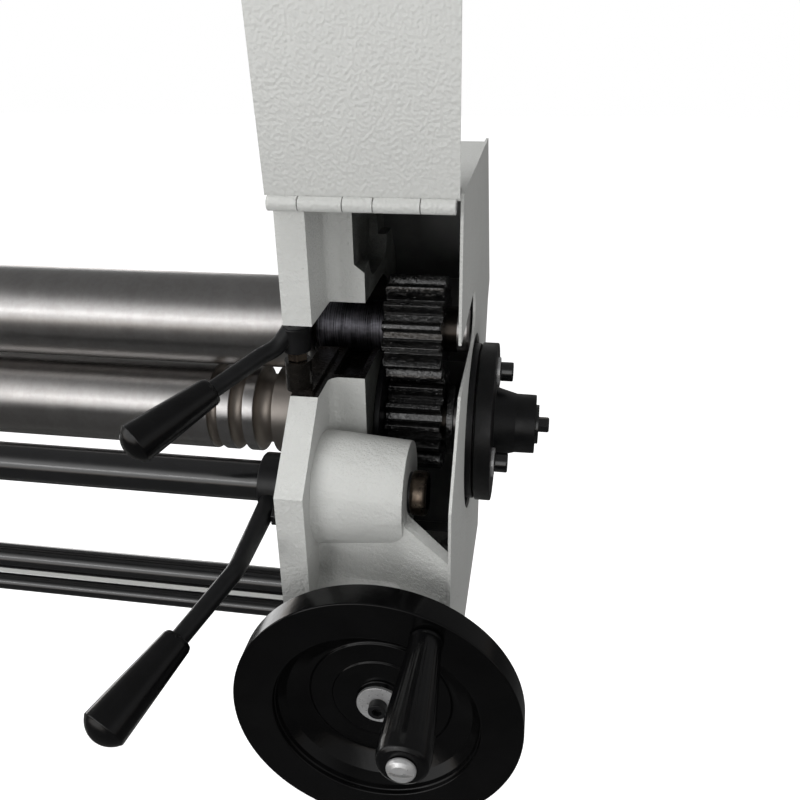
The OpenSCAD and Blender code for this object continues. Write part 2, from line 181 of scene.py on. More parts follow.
def smooth_faces(obj, sharp=38.0):
    """Smooth shading with crisp edges and flat faces that stay flat."""
    mesh = obj.data
    mesh.polygons.foreach_set("use_smooth", [True] * len(mesh.polygons))
    mesh.set_sharp_from_angle(angle=math.radians(sharp))
    return modified(obj, "WEIGHTED_NORMAL", keep_sharp=True, weight=80)


def ease(obj, width, segments=3, limit=35.0):
    """Bevels every edge sharper than the limit; the width is in millimetres."""
    return modified(obj, "BEVEL", width=width * MM, segments=segments, limit_method="ANGLE",
                    angle_limit=math.radians(limit))


def add_to(obj, body):
    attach(obj, body)
    return obj


def mount(obj, node):
    """Rides a finished piece on the body of its CAD node and stands in for it."""
    add_to(obj, next(body for body, nodes in BODIES.items() if node in nodes))
    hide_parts(node)
    return obj


class Maker:
    """Collects turned, swept and boxed forms, in millimetres, into one piece."""

    def __init__(self):
        self.bm = bmesh.new()

    def faces(self, rings, finish):
        """Skins neighbouring rings of points; a ring of one point makes a fan."""
        for p, q in rings:
            if len(p) == len(q) == 1:
                continue
            for i in range(max(len(p), len(q))):
                j = (i + 1) % max(len(p), len(q))
                if len(p) == 1:
                    face = (p[0], q[i], q[j])
                elif len(q) == 1:
                    face = (p[i], q[0], p[j])
                else:
                    face = (p[i], q[i], q[j], p[j])
                self.bm.faces.new(face).material_index = finish

    def turn(self, profile, base=(0, 0, 0), axis=X_AXIS, segments=96, closed=False, finish=0, flutes=None):
        """Turns (along, radius) points about an axis; a third value makes a ring hexagonal."""
        along = Vector(axis).normalized()
        u = along.orthogonal().normalized()
        v = along.cross(u)
        rings = []
        for a, r, *hexagonal in profile:
            centre = Vector(base) + along * a
            if r < 1e-4:
                rings.append([self.bm.verts.new(centre * MM)])
                continue
            ring = []
            for i in range(segments):
                t = 2 * math.pi * i / segments
                rr = r
                if hexagonal and hexagonal[0]:
                    rr *= math.cos(math.pi / 6) / math.cos(t % (math.pi / 3) - math.pi / 6)
                if flutes and flutes[2] < a < flutes[3]:
                    rr -= flutes[1] * (0.5 + 0.5 * math.cos(t * flutes[0]))
                ring.append(self.bm.verts.new((centre + (u * math.cos(t) + v * math.sin(t)) * rr) * MM))
            rings.append(ring)
        self.faces(list(zip(rings, rings[1:])) + ([(rings[-1], rings[0])] if closed else []), finish)
        return self

    def sweep(self, path, radii, segments=32):
        """A round rod along a path; radii holds one radius a point."""
        side = None
        rings = []
        for i, p in enumerate(path):
            way = (path[min(i + 1, len(path) - 1)] - path[max(i - 1, 0)]).normalized()
            side = way.orthogonal() if side is None else side - way * side.dot(way)
            side.normalize()
            other = way.cross(side)
            rings.append([self.bm.verts.new((p + (side * math.cos(t) + other * math.sin(t)) * radii[i]) * MM)
                          for t in (2 * math.pi * k / segments for k in range(segments))])
        self.faces(zip(rings, rings[1:]), 0)
        for ring in (rings[0], rings[-1]):
            self.bm.faces.new(ring)
        return self

    def block(self, low, high):
        """A box between two corners."""
        for v in bmesh.ops.create_cube(self.bm, size=1.0)["verts"]:
            v.co = Vector([low[k] + (v.co[k] + 0.5) * (high[k] - low[k]) for k in range(3)]) * MM
        return self

    def raw(self, name, materials=()):
        """The collected forms as an object with outward faces."""
        bmesh.ops.recalc_face_normals(self.bm, faces=self.bm.faces)
        return mesh_object(self.bm, name, materials)

    def build(self, name, *materials, sharp=38.0, minus=None):
        """The finished mesh, cut by another maker's forms."""
        obj = self.raw(name, materials)
        if minus is not None:
            tool = minus.raw(name + "_cutter")
            modified(obj, "BOOLEAN", operation="DIFFERENCE", solver="EXACT", object=tool)
            bpy.data.objects.remove(tool)
        return smooth_faces(obj, sharp)


def turned(node, name, finish, profile, base=None, axis=X_AXIS, slot=None, sharp=38.0, **more):
    """A turned piece in a CAD node's place; its axis is the node's own, along X, unless given."""
    made = Maker().turn(profile, base or axis_of(node), axis, **more)
    mount(made.build(name, finish, sharp=sharp), node)


def cad_copy(node, name, *materials):
    """A welded copy of a CAD node's mesh with its flat faces whole."""
    bm = bmesh.new()
    bm.from_mesh(frame["nodes"][node].data)
    bmesh.ops.remove_doubles(bm, verts=bm.verts, dist=2e-5)
    bmesh.ops.dissolve_degenerate(bm, dist=1e-6, edges=bm.edges)
    bmesh.ops.dissolve_limit(bm, angle_limit=math.radians(0.6), verts=bm.verts, edges=bm.edges)
    for face in bm.faces:
        face.material_index = 0
    return mesh_object(bm, name, materials)


def eased_copy(node, name, material, width):
    """A CAD node with its edges eased, mounted in its place."""
    mount(smooth_faces(ease(cad_copy(node, name, material), width)), node)


# ---------------------------------------------------------------- surface finishes

class Graph:
    """A thin writer for node trees: values set sockets, sockets are linked."""

    def __init__(self, tree):
        self.tree = tree

    def add(self, kind, inputs=None, out=0, **props):
        made = self.tree.nodes.new(kind)
        for key, value in props.items():
            setattr(made, key, value)
        for key, value in (inputs or {}).items():
            self.feed(made.inputs[key], value)
        return made.outputs[out]

    def feed(self, socket, value):
        if isinstance(value, bpy.types.NodeSocket):
            self.tree.links.new(value, socket)
        else:
            socket.default_value = value

    def math(self, operation, *values):
        return self.add("ShaderNodeMath", dict(enumerate(values)), operation=operation)

    def vector(self, operation, *values, out=0, **more):
        return self.add("ShaderNodeVectorMath", {**dict(enumerate(values)), **more}, out, operation=operation)

    def times(self, first, *others):
        for other in others:
            first = self.math("MULTIPLY", first, other)
        return first

    def noise(self, place, scale, detail, **more):
        return self.add("ShaderNodeTexNoise", {"Vector": place, "Scale": scale, "Detail": detail, **more})

    def span(self, value, start, end, low=0.0, high=1.0, kind="LINEAR"):
        """The value from start to end, taken to low to high."""
        return self.add("ShaderNodeMapRange", {"Value": value, "From Min": start, "From Max": end,
                                               "To Min": low, "To Max": high}, interpolation_type=kind)

    def ramp(self, *values):
        return self.span(*values, kind="SMOOTHSTEP")

    def pick(self, mask, first, second):
        return self.add("ShaderNodeMix", {0: mask, 2: first, 3: second})

    def blend(self, mask, first, second):
        return self.add("ShaderNodeMix", {0: mask, 6: first, 7: second}, out=2, data_type="RGBA")

    def place(self, out="Object"):
        return self.add("ShaderNodeTexCoord", out=out)

    def along(self, place, letter):
        return self.add("ShaderNodeSeparateXYZ", {"Vector": place}, out=letter)


def write_mottle(g, ins):
    cloud = g.noise(g.place(), ins["Scale"], 5.0, Roughness=0.6)
    return [g.span(cloud, 0.32, 0.68, ins["Low"], ins["High"])]


def write_edge_wear(g, ins):
    soft = g.add("ShaderNodeBevel", {"Radius": ins["Width"]}, samples=6)
    flat = g.add("ShaderNodeNewGeometry", out="Normal")
    same = g.vector("DOT_PRODUCT", soft, flat, out="Value")
    rub = g.span(g.noise(g.place(), ins["Scale"], 4.0), 0.42, 0.62)
    return [g.times(g.span(same, 0.985, 0.86), rub, ins["Amount"])]


def write_hammered(g, ins):
    return [g.noise(g.place(), ins["Scale"], 0.6, Roughness=0.4)]


def write_cast_skin(g, ins):
    spot = g.place()
    grain = g.noise(spot, ins["Grain"], 6.0, Roughness=0.62)
    holes = g.add("ShaderNodeTexVoronoi", {"Vector": spot, "Scale": 160.0, "Randomness": 1.0})
    rare = g.span(g.noise(spot, 34.0, 1.0), 0.56, 0.6)
    pits = g.times(g.span(holes, 0.06, 0.16, 1.0, 0.0), rare, ins["Pits"])
    body = g.math("MULTIPLY_ADD", g.noise(spot, 42.0, 2.0), 1.6, grain)
    return [pits, g.math("SUBTRACT", body, pits)]


def write_turned(g, ins):
    line = g.vector("MULTIPLY", g.place(), (1.0, 0.012, 0.012))
    fine = g.noise(line, ins["Lines"], 5.0, Roughness=0.7)
    return [g.math("MULTIPLY_ADD", fine, 0.5, g.noise(line, 60.0, 2.0)), fine]


def write_oil(g, ins):
    spot = g.place()
    mask = g.span(g.noise(spot, ins["Scale"], 3.0, Distortion=0.4), 0.46, 0.56)
    clots = g.add("ShaderNodeTexVoronoi", {"Vector": spot, "Scale": 420.0, "Smoothness": 0.7},
                  feature="SMOOTH_F1")
    return [g.times(mask, ins["Amount"]), g.math("MULTIPLY_ADD", mask, 0.8, g.math("SUBTRACT", 0.6, clots))]


def write_spangle(g, ins):
    flake = g.add("ShaderNodeTexVoronoi", {"Vector": g.place(), "Scale": ins["Scale"]}, out="Color")
    return [g.add("ShaderNodeSeparateColor", {"Color": flake})]


EFFECTS = (
    ("Mottle", {"Scale": 20.0, "Low": 0.0, "High": 1.0}, ["Value"], write_mottle),
    ("Edge wear", {"Width": 0.0012, "Scale": 90.0, "Amount": 1.0}, ["Mask"], write_edge_wear),
    ("Hammered skin", {"Scale": 420.0}, ["Height"], write_hammered),
    ("Sand cast skin", {"Grain": 520.0, "Pits": 1.0}, ["Pit", "Height"], write_cast_skin),
    ("Turned lines", {"Lines": 2600.0}, ["Streak", "Height"], write_turned),
    ("Oil film", {"Scale": 60.0, "Amount": 1.0}, ["Mask", "Height"], write_oil),
    ("Zinc spangle", {"Scale": 300.0}, ["Value"], write_spangle),
)


def shared_effects():
    """One node group an effect: float inputs, and outputs with its colour mask first, its height last."""
    for name, inputs, outputs, write in EFFECTS:
        tree = bpy.data.node_groups.new(name, "ShaderNodeTree")
        for label, default in inputs.items():
            made = tree.interface.new_socket(label, in_out="INPUT", socket_type="NodeSocketFloat")
            made.default_value = default
        for label in outputs:
            tree.interface.new_socket(label, in_out="OUTPUT", socket_type="NodeSocketFloat")
        start = tree.nodes.new("NodeGroupInput")
        end = tree.nodes.new("NodeGroupOutput")
        for label, socket in zip(outputs, write(Graph(tree), start.outputs)):
            tree.links.new(socket, end.inputs[label])


def finish_of(name):
    return bpy.data.materials["finish_" + name]


class Finish(Graph):
    """One procedural material with its own Principled shader."""

    def __init__(self, name, colour, rough, spread, clouds, tint, metal=0.0, coat=0.0, specular=0.5):
        """Colour varies by the share tint, and roughness by spread, in clouds of that scale."""
        material = bpy.data.materials.new("finish_" + name)
        material.use_nodes = True
        super().__init__(material.node_tree)
        self.sockets = self.tree.nodes["Principled BSDF"].inputs
        for label, value in (("Metallic", metal), ("Coat Weight", coat), ("Coat Roughness", 0.08),
                             ("Specular IOR Level", specular)):
            self.sockets[label].default_value = value
        low = [c * (1 - tint) for c in colour]
        high = [min(1.0, c * (1 + tint)) for c in colour]
        self.colour = self.blend(self.effect("Mottle", 0, clouds, 0.0, 1.0), (*low, 1.0), (*high, 1.0))
        self.rough = self.effect("Mottle", 0, clouds * 2.3, rough - spread, rough + spread)
        self.wire()

    def wire(self):
        self.feed(self.sockets["Base Color"], self.colour)
        self.feed(self.sockets["Roughness"], self.rough)

    def effect(self, group, out, *values):
        """A shared effect, with values for its inputs in their order."""
        node = self.tree.nodes.new("ShaderNodeGroup")
        node.node_tree = bpy.data.node_groups[group]
        for socket, value in zip(node.inputs, values):
            self.feed(socket, value)
        return node.outputs[out]

    def lay(self, mask, colour, rough=None):
        """A second colour, and roughness, where the mask is 1."""
        if isinstance(mask, tuple):
            mask = self.effect(mask[0], 0, *mask[1:])
        self.colour = self.blend(mask, self.colour, (*colour, 1.0))
        if rough is not None:
            self.rough = self.pick(mask, self.rough, rough)
        self.wire()

    def bump(self, depth, group, *values):
        """Depth is in metres."""
        height = self.effect(group, -1, *values)
        self.feed(self.sockets["Normal"],
                  self.add("ShaderNodeBump", {"Height": height, "Distance": depth, "Strength": 1.0}))

    def attribute(self, name):
        return self.add("ShaderNodeAttribute", out="Fac", attribute_name=name)


def make_finishes():
    make_paints()
    make_steels()
    make_blacks()


def make_paints():
    look = paint_settings()
    f = Finish("sheet_paint", [c * 0.87 for c in look.paint_colour], 0.42, 0.05, 9.0, 0.02)
    f.lay(("Edge wear", 0.0008, 160.0, 0.3), (0.34, 0.34, 0.33), 0.5)
    f.bump(look.hammer_depth, "Hammered skin", 460.0)

    f = Finish("cast_paint", [c * 0.96 for c in look.paint_colour], 0.46, 0.06, 8.0, 0.03)
    f.lay(("Sand cast skin", 520.0, 0.12), (0.33, 0.33, 0.32), 0.6)
    f.bump(look.cast_depth, "Sand cast skin", 380.0, 0.2)

    # Painted shade with an oil film: dark paint for the casting faces inside the gear case, darkened for the
    # shade they stand in
    f = Finish("case_grime", (0.075, 0.078, 0.072), 0.45, 0.1, 22.0, 0.35)
    f.lay(("Oil film", 40.0, 0.5), (0.03, 0.03, 0.028), 0.3)
    f.bump(look.cast_depth, "Sand cast skin", 480.0, 0.6)

    # Painted light and shade inside the gear case: dark paint for its shade, made lighter towards the top and
    # the outer side for the light that comes in at the open front
    f = Finish("case_inside_paint", (0.1, 0.1, 0.098), 0.4, 0.12, 18.0, 0.3)
    spot = f.place()
    upper = f.span(f.along(spot, "Z"), 1.035, 1.1)
    outer = f.span(f.along(spot, "X"), 0.585, 0.64)
    f.lay(f.times(upper, outer), (0.66, 0.665, 0.66), 0.5)
    f.bump(0.0001, "Hammered skin", 380.0)


def make_steels():
    steel = tuple(paint_settings().steel_colour)
    f = Finish("roll_steel", steel, 0.31, 0.03, 30.0, 0.05, metal=1.0)
    f.lay(("Turned lines", 1900.0), [c * 0.8 for c in steel])
    f.lay(("Oil film", 210.0, 0.1), (0.2, 0.165, 0.14), 0.4)
    f.lay(f.attribute("groove"), (0.27, 0.238, 0.21), 0.5)
    f.lay(f.attribute("journal"), (0.035, 0.03, 0.026), 0.26)
    f.bump(0.00002, "Turned lines", 2600.0)

    f = Finish("turned_black_steel", (0.14, 0.137, 0.155), 0.4, 0.06, 90.0, 0.3, metal=1.0)
    lines = f.span(f.effect("Turned lines", -1, 1500.0), 0.4, 0.58)
    f.lay(f.times(lines, f.effect("Mottle", 0, 260.0, 0.6, 1.0)), (0.012, 0.012, 0.014))
    f.bump(0.0002, "Turned lines", 1500.0)

    f = Finish("oily_steel", (0.018, 0.0155, 0.013), 0.25, 0.08, 60.0, 0.5, metal=0.6)
    f.lay(("Oil film", 60.0, 0.7), (0.006, 0.0058, 0.0055), 0.14)
    f.bump(0.00015, "Oil film", 90.0, 1.0)

    f = Finish("bronzed_steel", (0.17, 0.135, 0.105), 0.33, 0.08, 120.0, 0.4, metal=1.0)
    f.lay(("Oil film", 140.0, 0.6), (0.05, 0.04, 0.033), 0.25)

    f = Finish("pale_steel", (0.55, 0.54, 0.52), 0.34, 0.06, 40.0, 0.1, metal=1.0)
    f.bump(0.00003, "Turned lines", 1500.0)

    f = Finish("zinc", (0.5, 0.5, 0.5), 0.32, 0.07, 160.0, 0.1, metal=0.6)
    f.lay(("Zinc spangle", 420.0), (0.46, 0.46, 0.46))
    f.lay(("Edge wear", 0.0006, 140.0, 0.8), (0.35, 0.3, 0.24), 0.5)


def make_blacks():
    f = Finish("greased_gear", (0.003, 0.003, 0.0033), 0.14, 0.06, 120.0, 0.5, coat=0.6, specular=0.6)
    f.lay(("Oil film", 170.0, 0.7), (0.012, 0.0115, 0.011), 0.15)
    f.bump(0.0003, "Oil film", 300.0, 1.0)

    f = Finish("grease", (0.006, 0.0058, 0.0055), 0.14, 0.07, 160.0, 0.5, coat=0.7, specular=0.9)
    f.bump(0.0001, "Mottle", 500.0, 0.0, 1.0)

    f = Finish("black_oxide", (0.0045, 0.0046, 0.005), 0.19, 0.04, 60.0, 0.25, specular=0.8)
    f.lay(("Edge wear", 0.0008, 200.0, 0.4), (0.07, 0.07, 0.075), 0.3)
    f.bump(0.00001, "Turned lines", 1800.0)

    f = Finish("flange_black", (0.0045, 0.0046, 0.005), 0.36, 0.08, 50.0, 0.3, specular=0.3)
    f.lay(("Edge wear", 0.0012, 120.0, 0.35), (0.06, 0.056, 0.05), 0.35)
    f.bump(0.00012, "Sand cast skin", 800.0, 0.2)

    f = Finish("wheel_black", (0.0015, 0.0015, 0.0016), 0.17, 0.03, 26.0, 0.3, specular=0.2)
    f.lay(("Oil film", 34.0, 0.1), (0.006, 0.006, 0.006), 0.22)
    f.bump(0.00012, "Mottle", 30.0, 0.0, 1.0)

    f = Finish("grip_black", (0.0018, 0.0018, 0.002), 0.23, 0.04, 50.0, 0.3, specular=0.3)
    f.bump(0.00008, "Mottle", 70.0, 0.0, 1.0)

    f = Finish("pad_rubber", (0.02, 0.02, 0.02), 0.7, 0.08, 40.0, 0.3)
    f.bump(0.0002, "Mottle", 300.0, 0.0, 1.0)


# ---------------------------------------------------------------- repeats by rule

def geometry_tree(name, inputs, write):
    """A Geometry Nodes tree: named inputs, and write(graph, ins) gives the geometry it puts out."""
    tree = bpy.data.node_groups.new(name, "GeometryNodeTree")
    tree.interface.new_socket("Geometry", in_out="INPUT", socket_type="NodeSocketGeometry")
    for label, kind, default in (("Part", "Object", None), *inputs, ("Finish", "Material", None)):
        made = tree.interface.new_socket(label, in_out="INPUT", socket_type="NodeSocket" + kind)
        if default is not None:
            made.default_value = default
    tree.interface.new_socket("Geometry", in_out="OUTPUT", socket_type="NodeSocketGeometry")
    g = Graph(tree)
    ins = tree.nodes.new("NodeGroupInput").outputs
    coat = g.add("GeometryNodeSetMaterial", {"Geometry": write(g, ins), "Material": ins["Finish"]})
    tree.links.new(coat, tree.nodes.new("NodeGroupOutput").inputs[0])


def copies(g, ins, inputs):
    """Real copies of the part, one on each point."""
    part = g.add("GeometryNodeObjectInfo", {"Object": ins["Part"]}, out="Geometry")
    put = g.add("GeometryNodeInstanceOnPoints", {"Instance": part, **inputs})
    return g.add("GeometryNodeRealizeInstances", {"Geometry": put})


def write_ring(g, ins):
    """Copies turned about the X axis, evenly spaced, at a centre."""
    spots = g.add("GeometryNodeMeshLine", {"Count": ins["Count"], "Offset": (0.0, 0.0, 0.0)})
    step = g.math("DIVIDE", 2 * math.pi, ins["Count"])
    angle = g.math("MULTIPLY_ADD", g.add("GeometryNodeInputIndex"), step, ins["Phase"])
    turn = g.add("ShaderNodeCombineXYZ", {"X": angle})
    real = copies(g, ins, {"Points": spots, "Rotation": turn})
    weld = g.add("GeometryNodeMergeByDistance", {"Geometry": real, "Distance": ins["Weld"]})
    return g.add("GeometryNodeTransform", {"Geometry": weld, "Translation": ins["Centre"]})


def write_rows(g, ins):
    """A rectangular array: columns and rows along two steps from a start."""
    spots = g.add("GeometryNodeMeshLine", {"Count": g.times(ins["Columns"], ins["Rows"]),
                                           "Offset": (0.0, 0.0, 0.0)})
    index = g.add("GeometryNodeInputIndex")
    row = g.math("FLOOR", g.math("DIVIDE", index, ins["Columns"]))
    column = g.math("FLOORED_MODULO", index, ins["Columns"])
    place = g.vector("ADD", ins["Start"], g.vector("SCALE", ins["Column step"], Scale=column))
    place = g.vector("ADD", place, g.vector("SCALE", ins["Row step"], Scale=row))
    moved = g.add("GeometryNodeSetPosition", {"Geometry": spots, "Position": place})
    return copies(g, ins, {"Points": moved})


def write_beads(g, ins):
    """Beads scattered over a surface, lying flat on it, from a fixed seed."""
    base = g.add("GeometryNodeObjectInfo", {"Object": ins["Surface"]}, out="Geometry")
    scatter = g.add("GeometryNodeDistributePointsOnFaces",
                    {"Mesh": base, "Density": ins["Density"], "Seed": ins["Seed"]}).node.outputs
    small, large = (g.add("ShaderNodeCombineXYZ", {axis: ins[label] for axis in "XYZ"})
                    for label in ("Smallest", "Largest"))
    size = g.add("FunctionNodeRandomValue", {0: small, 1: large, "Seed": ins["Seed"]},
                 data_type="FLOAT_VECTOR")
    return copies(g, ins, {"Points": scatter["Points"], "Rotation": scatter["Rotation"], "Scale": size})


def growing_trees():
    origin = (0.0, 0.0, 0.0)
    geometry_tree("Parts on a ring", (
        ("Count", "Int", 3), ("Phase", "Float", 0.0), ("Centre", "Vector", origin), ("Weld", "Float", 0.0),
    ), write_ring)
    geometry_tree("Parts in rows", (
        ("Start", "Vector", origin), ("Columns", "Int", 2), ("Column step", "Vector", (0.1, 0.0, 0.0)),
        ("Rows", "Int", 1), ("Row step", "Vector", (0.0, 0.1, 0.0)),
    ), write_rows)
    geometry_tree("Beads on a surface", (
        ("Surface", "Object", None), ("Density", "Float", 1000.0), ("Seed", "Int", 7),
        ("Smallest", "Float", 0.5), ("Largest", "Float", 1.6),
    ), write_beads)


def grow(tree_name, name, finish, part, sharp=38.0, **values):
    """Runs a Geometry Nodes tree on a part into a plain mesh object, and removes the part."""
    tree = bpy.data.node_groups[tree_name]
    obj = link(bpy.data.objects.new(name, bpy.data.meshes.new(name)))
    modifier = obj.modifiers.new("make", "NODES")
    modifier.node_group = tree
    ids = {item.name: item.identifier for item in tree.interface.items_tree
           if getattr(item, "in_out", "") == "INPUT"}
    for label, value in {"Part": part, "Finish": finish_of(finish), **values}.items():
        modifier[ids[label.replace("_", " ")]] = value
    plain(obj)
    bpy.data.objects.remove(part)
    if not obj.data.materials:
        obj.data.materials.append(finish_of(finish))
    return smooth_faces(obj, sharp)


def cap_screw(name, radius, height, socket, washer, thick):
    """A socket head screw on a washer, standing on +Z from its seat."""
    base = thick - 0.1
    top, floor = base + height, base + height * 0.45
    head = rounded([(base, 0), (base, radius), (top, radius), (top, socket * 0.5)], radius * 0.16)[:-1]
    head += [(top, socket, 1), (floor, socket * 0.98, 1), (floor, 0)]
    made = Maker().turn(head, axis=Z_AXIS, segments=48)
    made.turn(ring_profile(0, thick, washer, edge=0.5, steps=2), axis=Z_AXIS, segments=48)
    return made.build(name, "black_oxide", sharp=30)


def hex_screw(name, across, height, washer, thick=2.0):
    """A hexagon head on a washer, standing on +Z from its seat."""
    r = across / math.sqrt(3)
    made = Maker().turn([(thick, 0), (thick, r), (thick + height * 0.86, r), (thick + height, r * 0.86),
                         (thick + height, 0)], axis=Z_AXIS, segments=6)
    made.turn(ring_profile(0, thick, washer, edge=0.4, steps=2), axis=Z_AXIS, segments=40)
    return made.build(name, "zinc", sharp=30)


# ---------------------------------------------------------------- sizes a user may change

def length(name, description, default, **limits):
    return bpy.props.FloatProperty(name=name, description=description, default=default,
                                   unit="LENGTH", subtype="DISTANCE", **limits)


def number(name, description, default):
    return bpy.props.FloatProperty(name=name, description=description, default=default, min=0.0)


def colour(name, description, default):
    return bpy.props.FloatVectorProperty(name=name, description=description, default=default,
                                         size=3, min=0.0, max=1.0, subtype="COLOR")


class RollingShape(bpy.types.PropertyGroup):
    casting_edge: length("Casting edge", "Eased edge of the castings", 0.0011, min=0.0003, max=0.003)
    sheet_edge: length("Sheet edge", "Eased edge of the sheet metal", 0.0006, min=0.0, max=0.002)
    bead_density: number("Grease beads", "Beads of grease on a square metre of gear", 9000.0)
    bead_seed: bpy.props.IntProperty(name="Grease seed", description="Fixed seed of the beads", default=11)
    flute_count: bpy.props.IntProperty(
        name="Handle flutes", description="Fine lengthwise lines round a crank handle", default=32, min=0)
    segments: bpy.props.IntProperty(
        name="Roundness", description="Sides of the large turned pieces", default=128, min=32, max=256)


class RollingFinish(bpy.types.PropertyGroup):
    paint_colour: colour("Machine paint", "Grey paint of castings and sheet metal", (0.60, 0.605, 0.585))
    steel_colour: colour("Roll steel", "Ground steel of the rolls", (0.44, 0.43, 0.425))
    hammer_depth: length("Hammered skin", "Depth of the hammered skin on sheet metal", 0.0007, min=0.0)
    cast_depth: length("Cast skin", "Depth of the skin on castings", 0.0014, min=0.0)
    lamp_power: number("Lamp power", "Power in watts that the lamps share", 30.0)
    sky: number("Even light", "Strength of the even light from all round", 0.38)


# ---------------------------------------------------------------- pieces

class Step:
    """Shared part of every operator that makes pieces."""
    bl_options = {"REGISTER", "UNDO"}

    def execute(self, context):
        self.make(settings())
        return {"FINISHED"}


BOSS_ROOT, BOSS_TAPER = 41.9, 0.0634     # radius where it leaves the wall, and what it loses a millimetre
COVE_REACH = 52     # radius that holds the cove round the boss
BOSS_SET_BACK = 6.5
WEB_CORNER, WEB_CHAMFER = (39, 144), 6  # from the frame's inner face, and above the lower roll


def trim_boss(obj, side, plate):
    """Tightens the root of the cross shaft's boss, sets its end back and chamfers the upper web's corner."""
    shaft = middle("cross_shaft")
    end = corners("cross_shaft")[1][0] - plate - 7
    corner_z = middle("lower_roll")[2] + WEB_CORNER[1]
    for v in obj.data.vertices:
        x, y, z = v.co[0] / MM * side - plate, v.co[1] / MM - shaft[1], v.co[2] / MM - shaft[2]
        r = math.hypot(y, z)
        root = BOSS_ROOT - (x - 20) * BOSS_TAPER
        if 19.5 < x < 29.9 and root < r < COVE_REACH:
            on_wall = z < -10 and y > 8
            if on_wall and abs(y) < root:
                v.co[2] = (shaft[2] - math.sqrt(root * root - y * y)) * MM
            elif not on_wall:
                v.co[1] = (shaft[1] + y * root / r) * MM
                v.co[2] = (shaft[2] + z * root / r) * MM
        elif end - 22 < x < end + 8 and v.co[1] / MM < -58:
            v.co[0] -= BOSS_SET_BACK * side * MM
        elif abs(x - WEB_CORNER[0]) < 1 and abs(v.co[2] / MM - corner_z) < 4:
            v.co[2] += WEB_CHAMFER * MM


OILY, PAINTED_SHADE = 1, 2     # places of the finishes on a casting; the paint is 0, and 2 is dark oily paint standing for the shade inside the gear case (painted shade)


def casting(node, name, shape):
    """A CAD solid finished as a casting: painted outside, oily where it is machined, and dark with painted
    shade on its faces inside the gear case.

    Here x is measured from the frame's inner face and z from the floor of the slot.
    """
    side = SIDES[node.split("_")[0]]
    plate = corners("right_frame")[0][0]
    shaft = middle("cross_shaft")
    slot_z = corners("release_block")[0][2]
    flange_x = corners("bearing_flange")[0][0] - plate
    roll_z = middle("lower_roll")[2] - slot_z
    shaft_z = shaft[2] - slot_z
    obj = cad_copy(node, name, "cast_paint", "oily_steel", "case_grime")
    trim_boss(obj, side, plate)
    ease(obj, shape.casting_edge / MM, 3, 40)
    for polygon in obj.data.polygons:
        x, y, z = polygon.center / MM
        x, z = x * side - plate, z - slot_z
        n = polygon.normal
        # painted shade: the web's face beside the gears is darkened for the shadow it stands in
        if 45.5 < x < 46.5 and n[0] * side > 0.9:
            polygon.material_index = PAINTED_SHADE
        near_boss = math.hypot(y - shaft[1], z - shaft_z) < 44
        if x > 60 and y < -110 and -110 < z < -60 and n[2] > 0.25 and not near_boss:
            polygon.material_index = OILY
        if x > 46 and z < 0:
            continue
        floor = -9 < z < 1.5 and n[2] > 0.7 and -112 < y < 40
        pocket = -9 < z < -0.5 and 20.5 < x < flange_x - 2 and -70.5 < y < -3
        end = 0.5 < z < 53.5 and -2 < y < 34 and abs(n[0]) < 0.5
        bore = math.hypot(y, z - roll_z) < JOURNAL + 0.6 and polygon.area < 0.002
        if floor or pocket or end or bore:
            polygon.material_index = OILY
        # painted shade: the right casting's faces inside the gear case are darkened for the shade they stand
        # in
        elif side > 0 and x > 19 and y > -60 and z > -60:
            polygon.material_index = PAINTED_SHADE
    mount(smooth_faces(obj, 40), node)


class ROLLING_OT_castings(Step, bpy.types.Operator):
    """Make both cast side frames, with soft edges and filleted corners"""
    bl_idname = "rolling.castings"
    bl_label = "Cast side frames"

    def make(self, shape):
        for side in SIDES:
            casting(side + "_frame", side + "_side_casting", shape)


class ROLLING_OT_case(Step, bpy.types.Operator):
    """Make the open gear case, its hinged lid, the hinge and its pin"""
    bl_idname = "rolling.case"
    bl_label = "Gear case and lid"

    def make(self, shape):
        edge = shape.sheet_edge / MM
        case = ease(cad_copy("gear_case", "gear_case_sheet", "sheet_paint", "case_inside_paint"), edge)
        low, high = corners("gear_case")
        heart = Vector((low[0] + 50, 0, middle("gear_case")[2] + 20)) * MM     # a point inside the case
        # faces turned into the case take the painted shade and painted light of its inside
        for polygon in case.data.polygons:
            inward = polygon.normal.dot((heart - polygon.center).normalized())
            outer_plate = polygon.center[0] / MM > high[0] - 0.3
            polygon.material_index = int(inward > 0.12 and polygon.area > 2e-5 and not outer_plate)
        mount(smooth_faces(case), "gear_case")
        for node, name in (("lid", "gear_case_lid"), ("case_hinge", "lid_hinge_leaf")):
            leaf = cad_copy(node, name, "sheet_paint")
            self.slim_barrel(leaf, node == "lid")
            mount(smooth_faces(ease(leaf, edge, 2, 50)), node)
        low, high = corners("hinge_pin")
        profile = ring_profile(low[0], high[0], 2.5, edge=0.6)
        turned("hinge_pin", "lid_hinge_pin", "zinc", profile, segments=32)

    def slim_barrel(self, leaf, lid):
        """Draws the rolled knuckles in and lets them stand proud of their leaves."""
        c = middle("hinge_pin")
        for v in leaf.data.vertices:
            y, z = v.co[1] / MM - c[1], v.co[2] / MM - c[2]
            if lid and y < -3.4 and 3.5 < z < 5:
                y, z = -0.4, 4.66
            elif 4.0 < math.hypot(y, z) < 6.15:
                y, z = y * 0.78, z * 0.78
            elif lid and 2.0 < z < 10 and y < -0.6:
                y, z = -0.3, 4.8
            elif lid and 7 < z < 9.2:
                z -= 3.0
            elif not lid and abs(y) < 0.6 and z > 3:
                y += 4.5
            v.co[1], v.co[2] = (c[1] + y) * MM, (c[2] + z) * MM


GROOVES = ((94, 4.5), (73.5, 6), (50.5, 8))     # from the frame's inner face, and radius
GROOVE_STEPS = 18
LAST_LAND = 36.6    # width of the worn land beyond the last groove


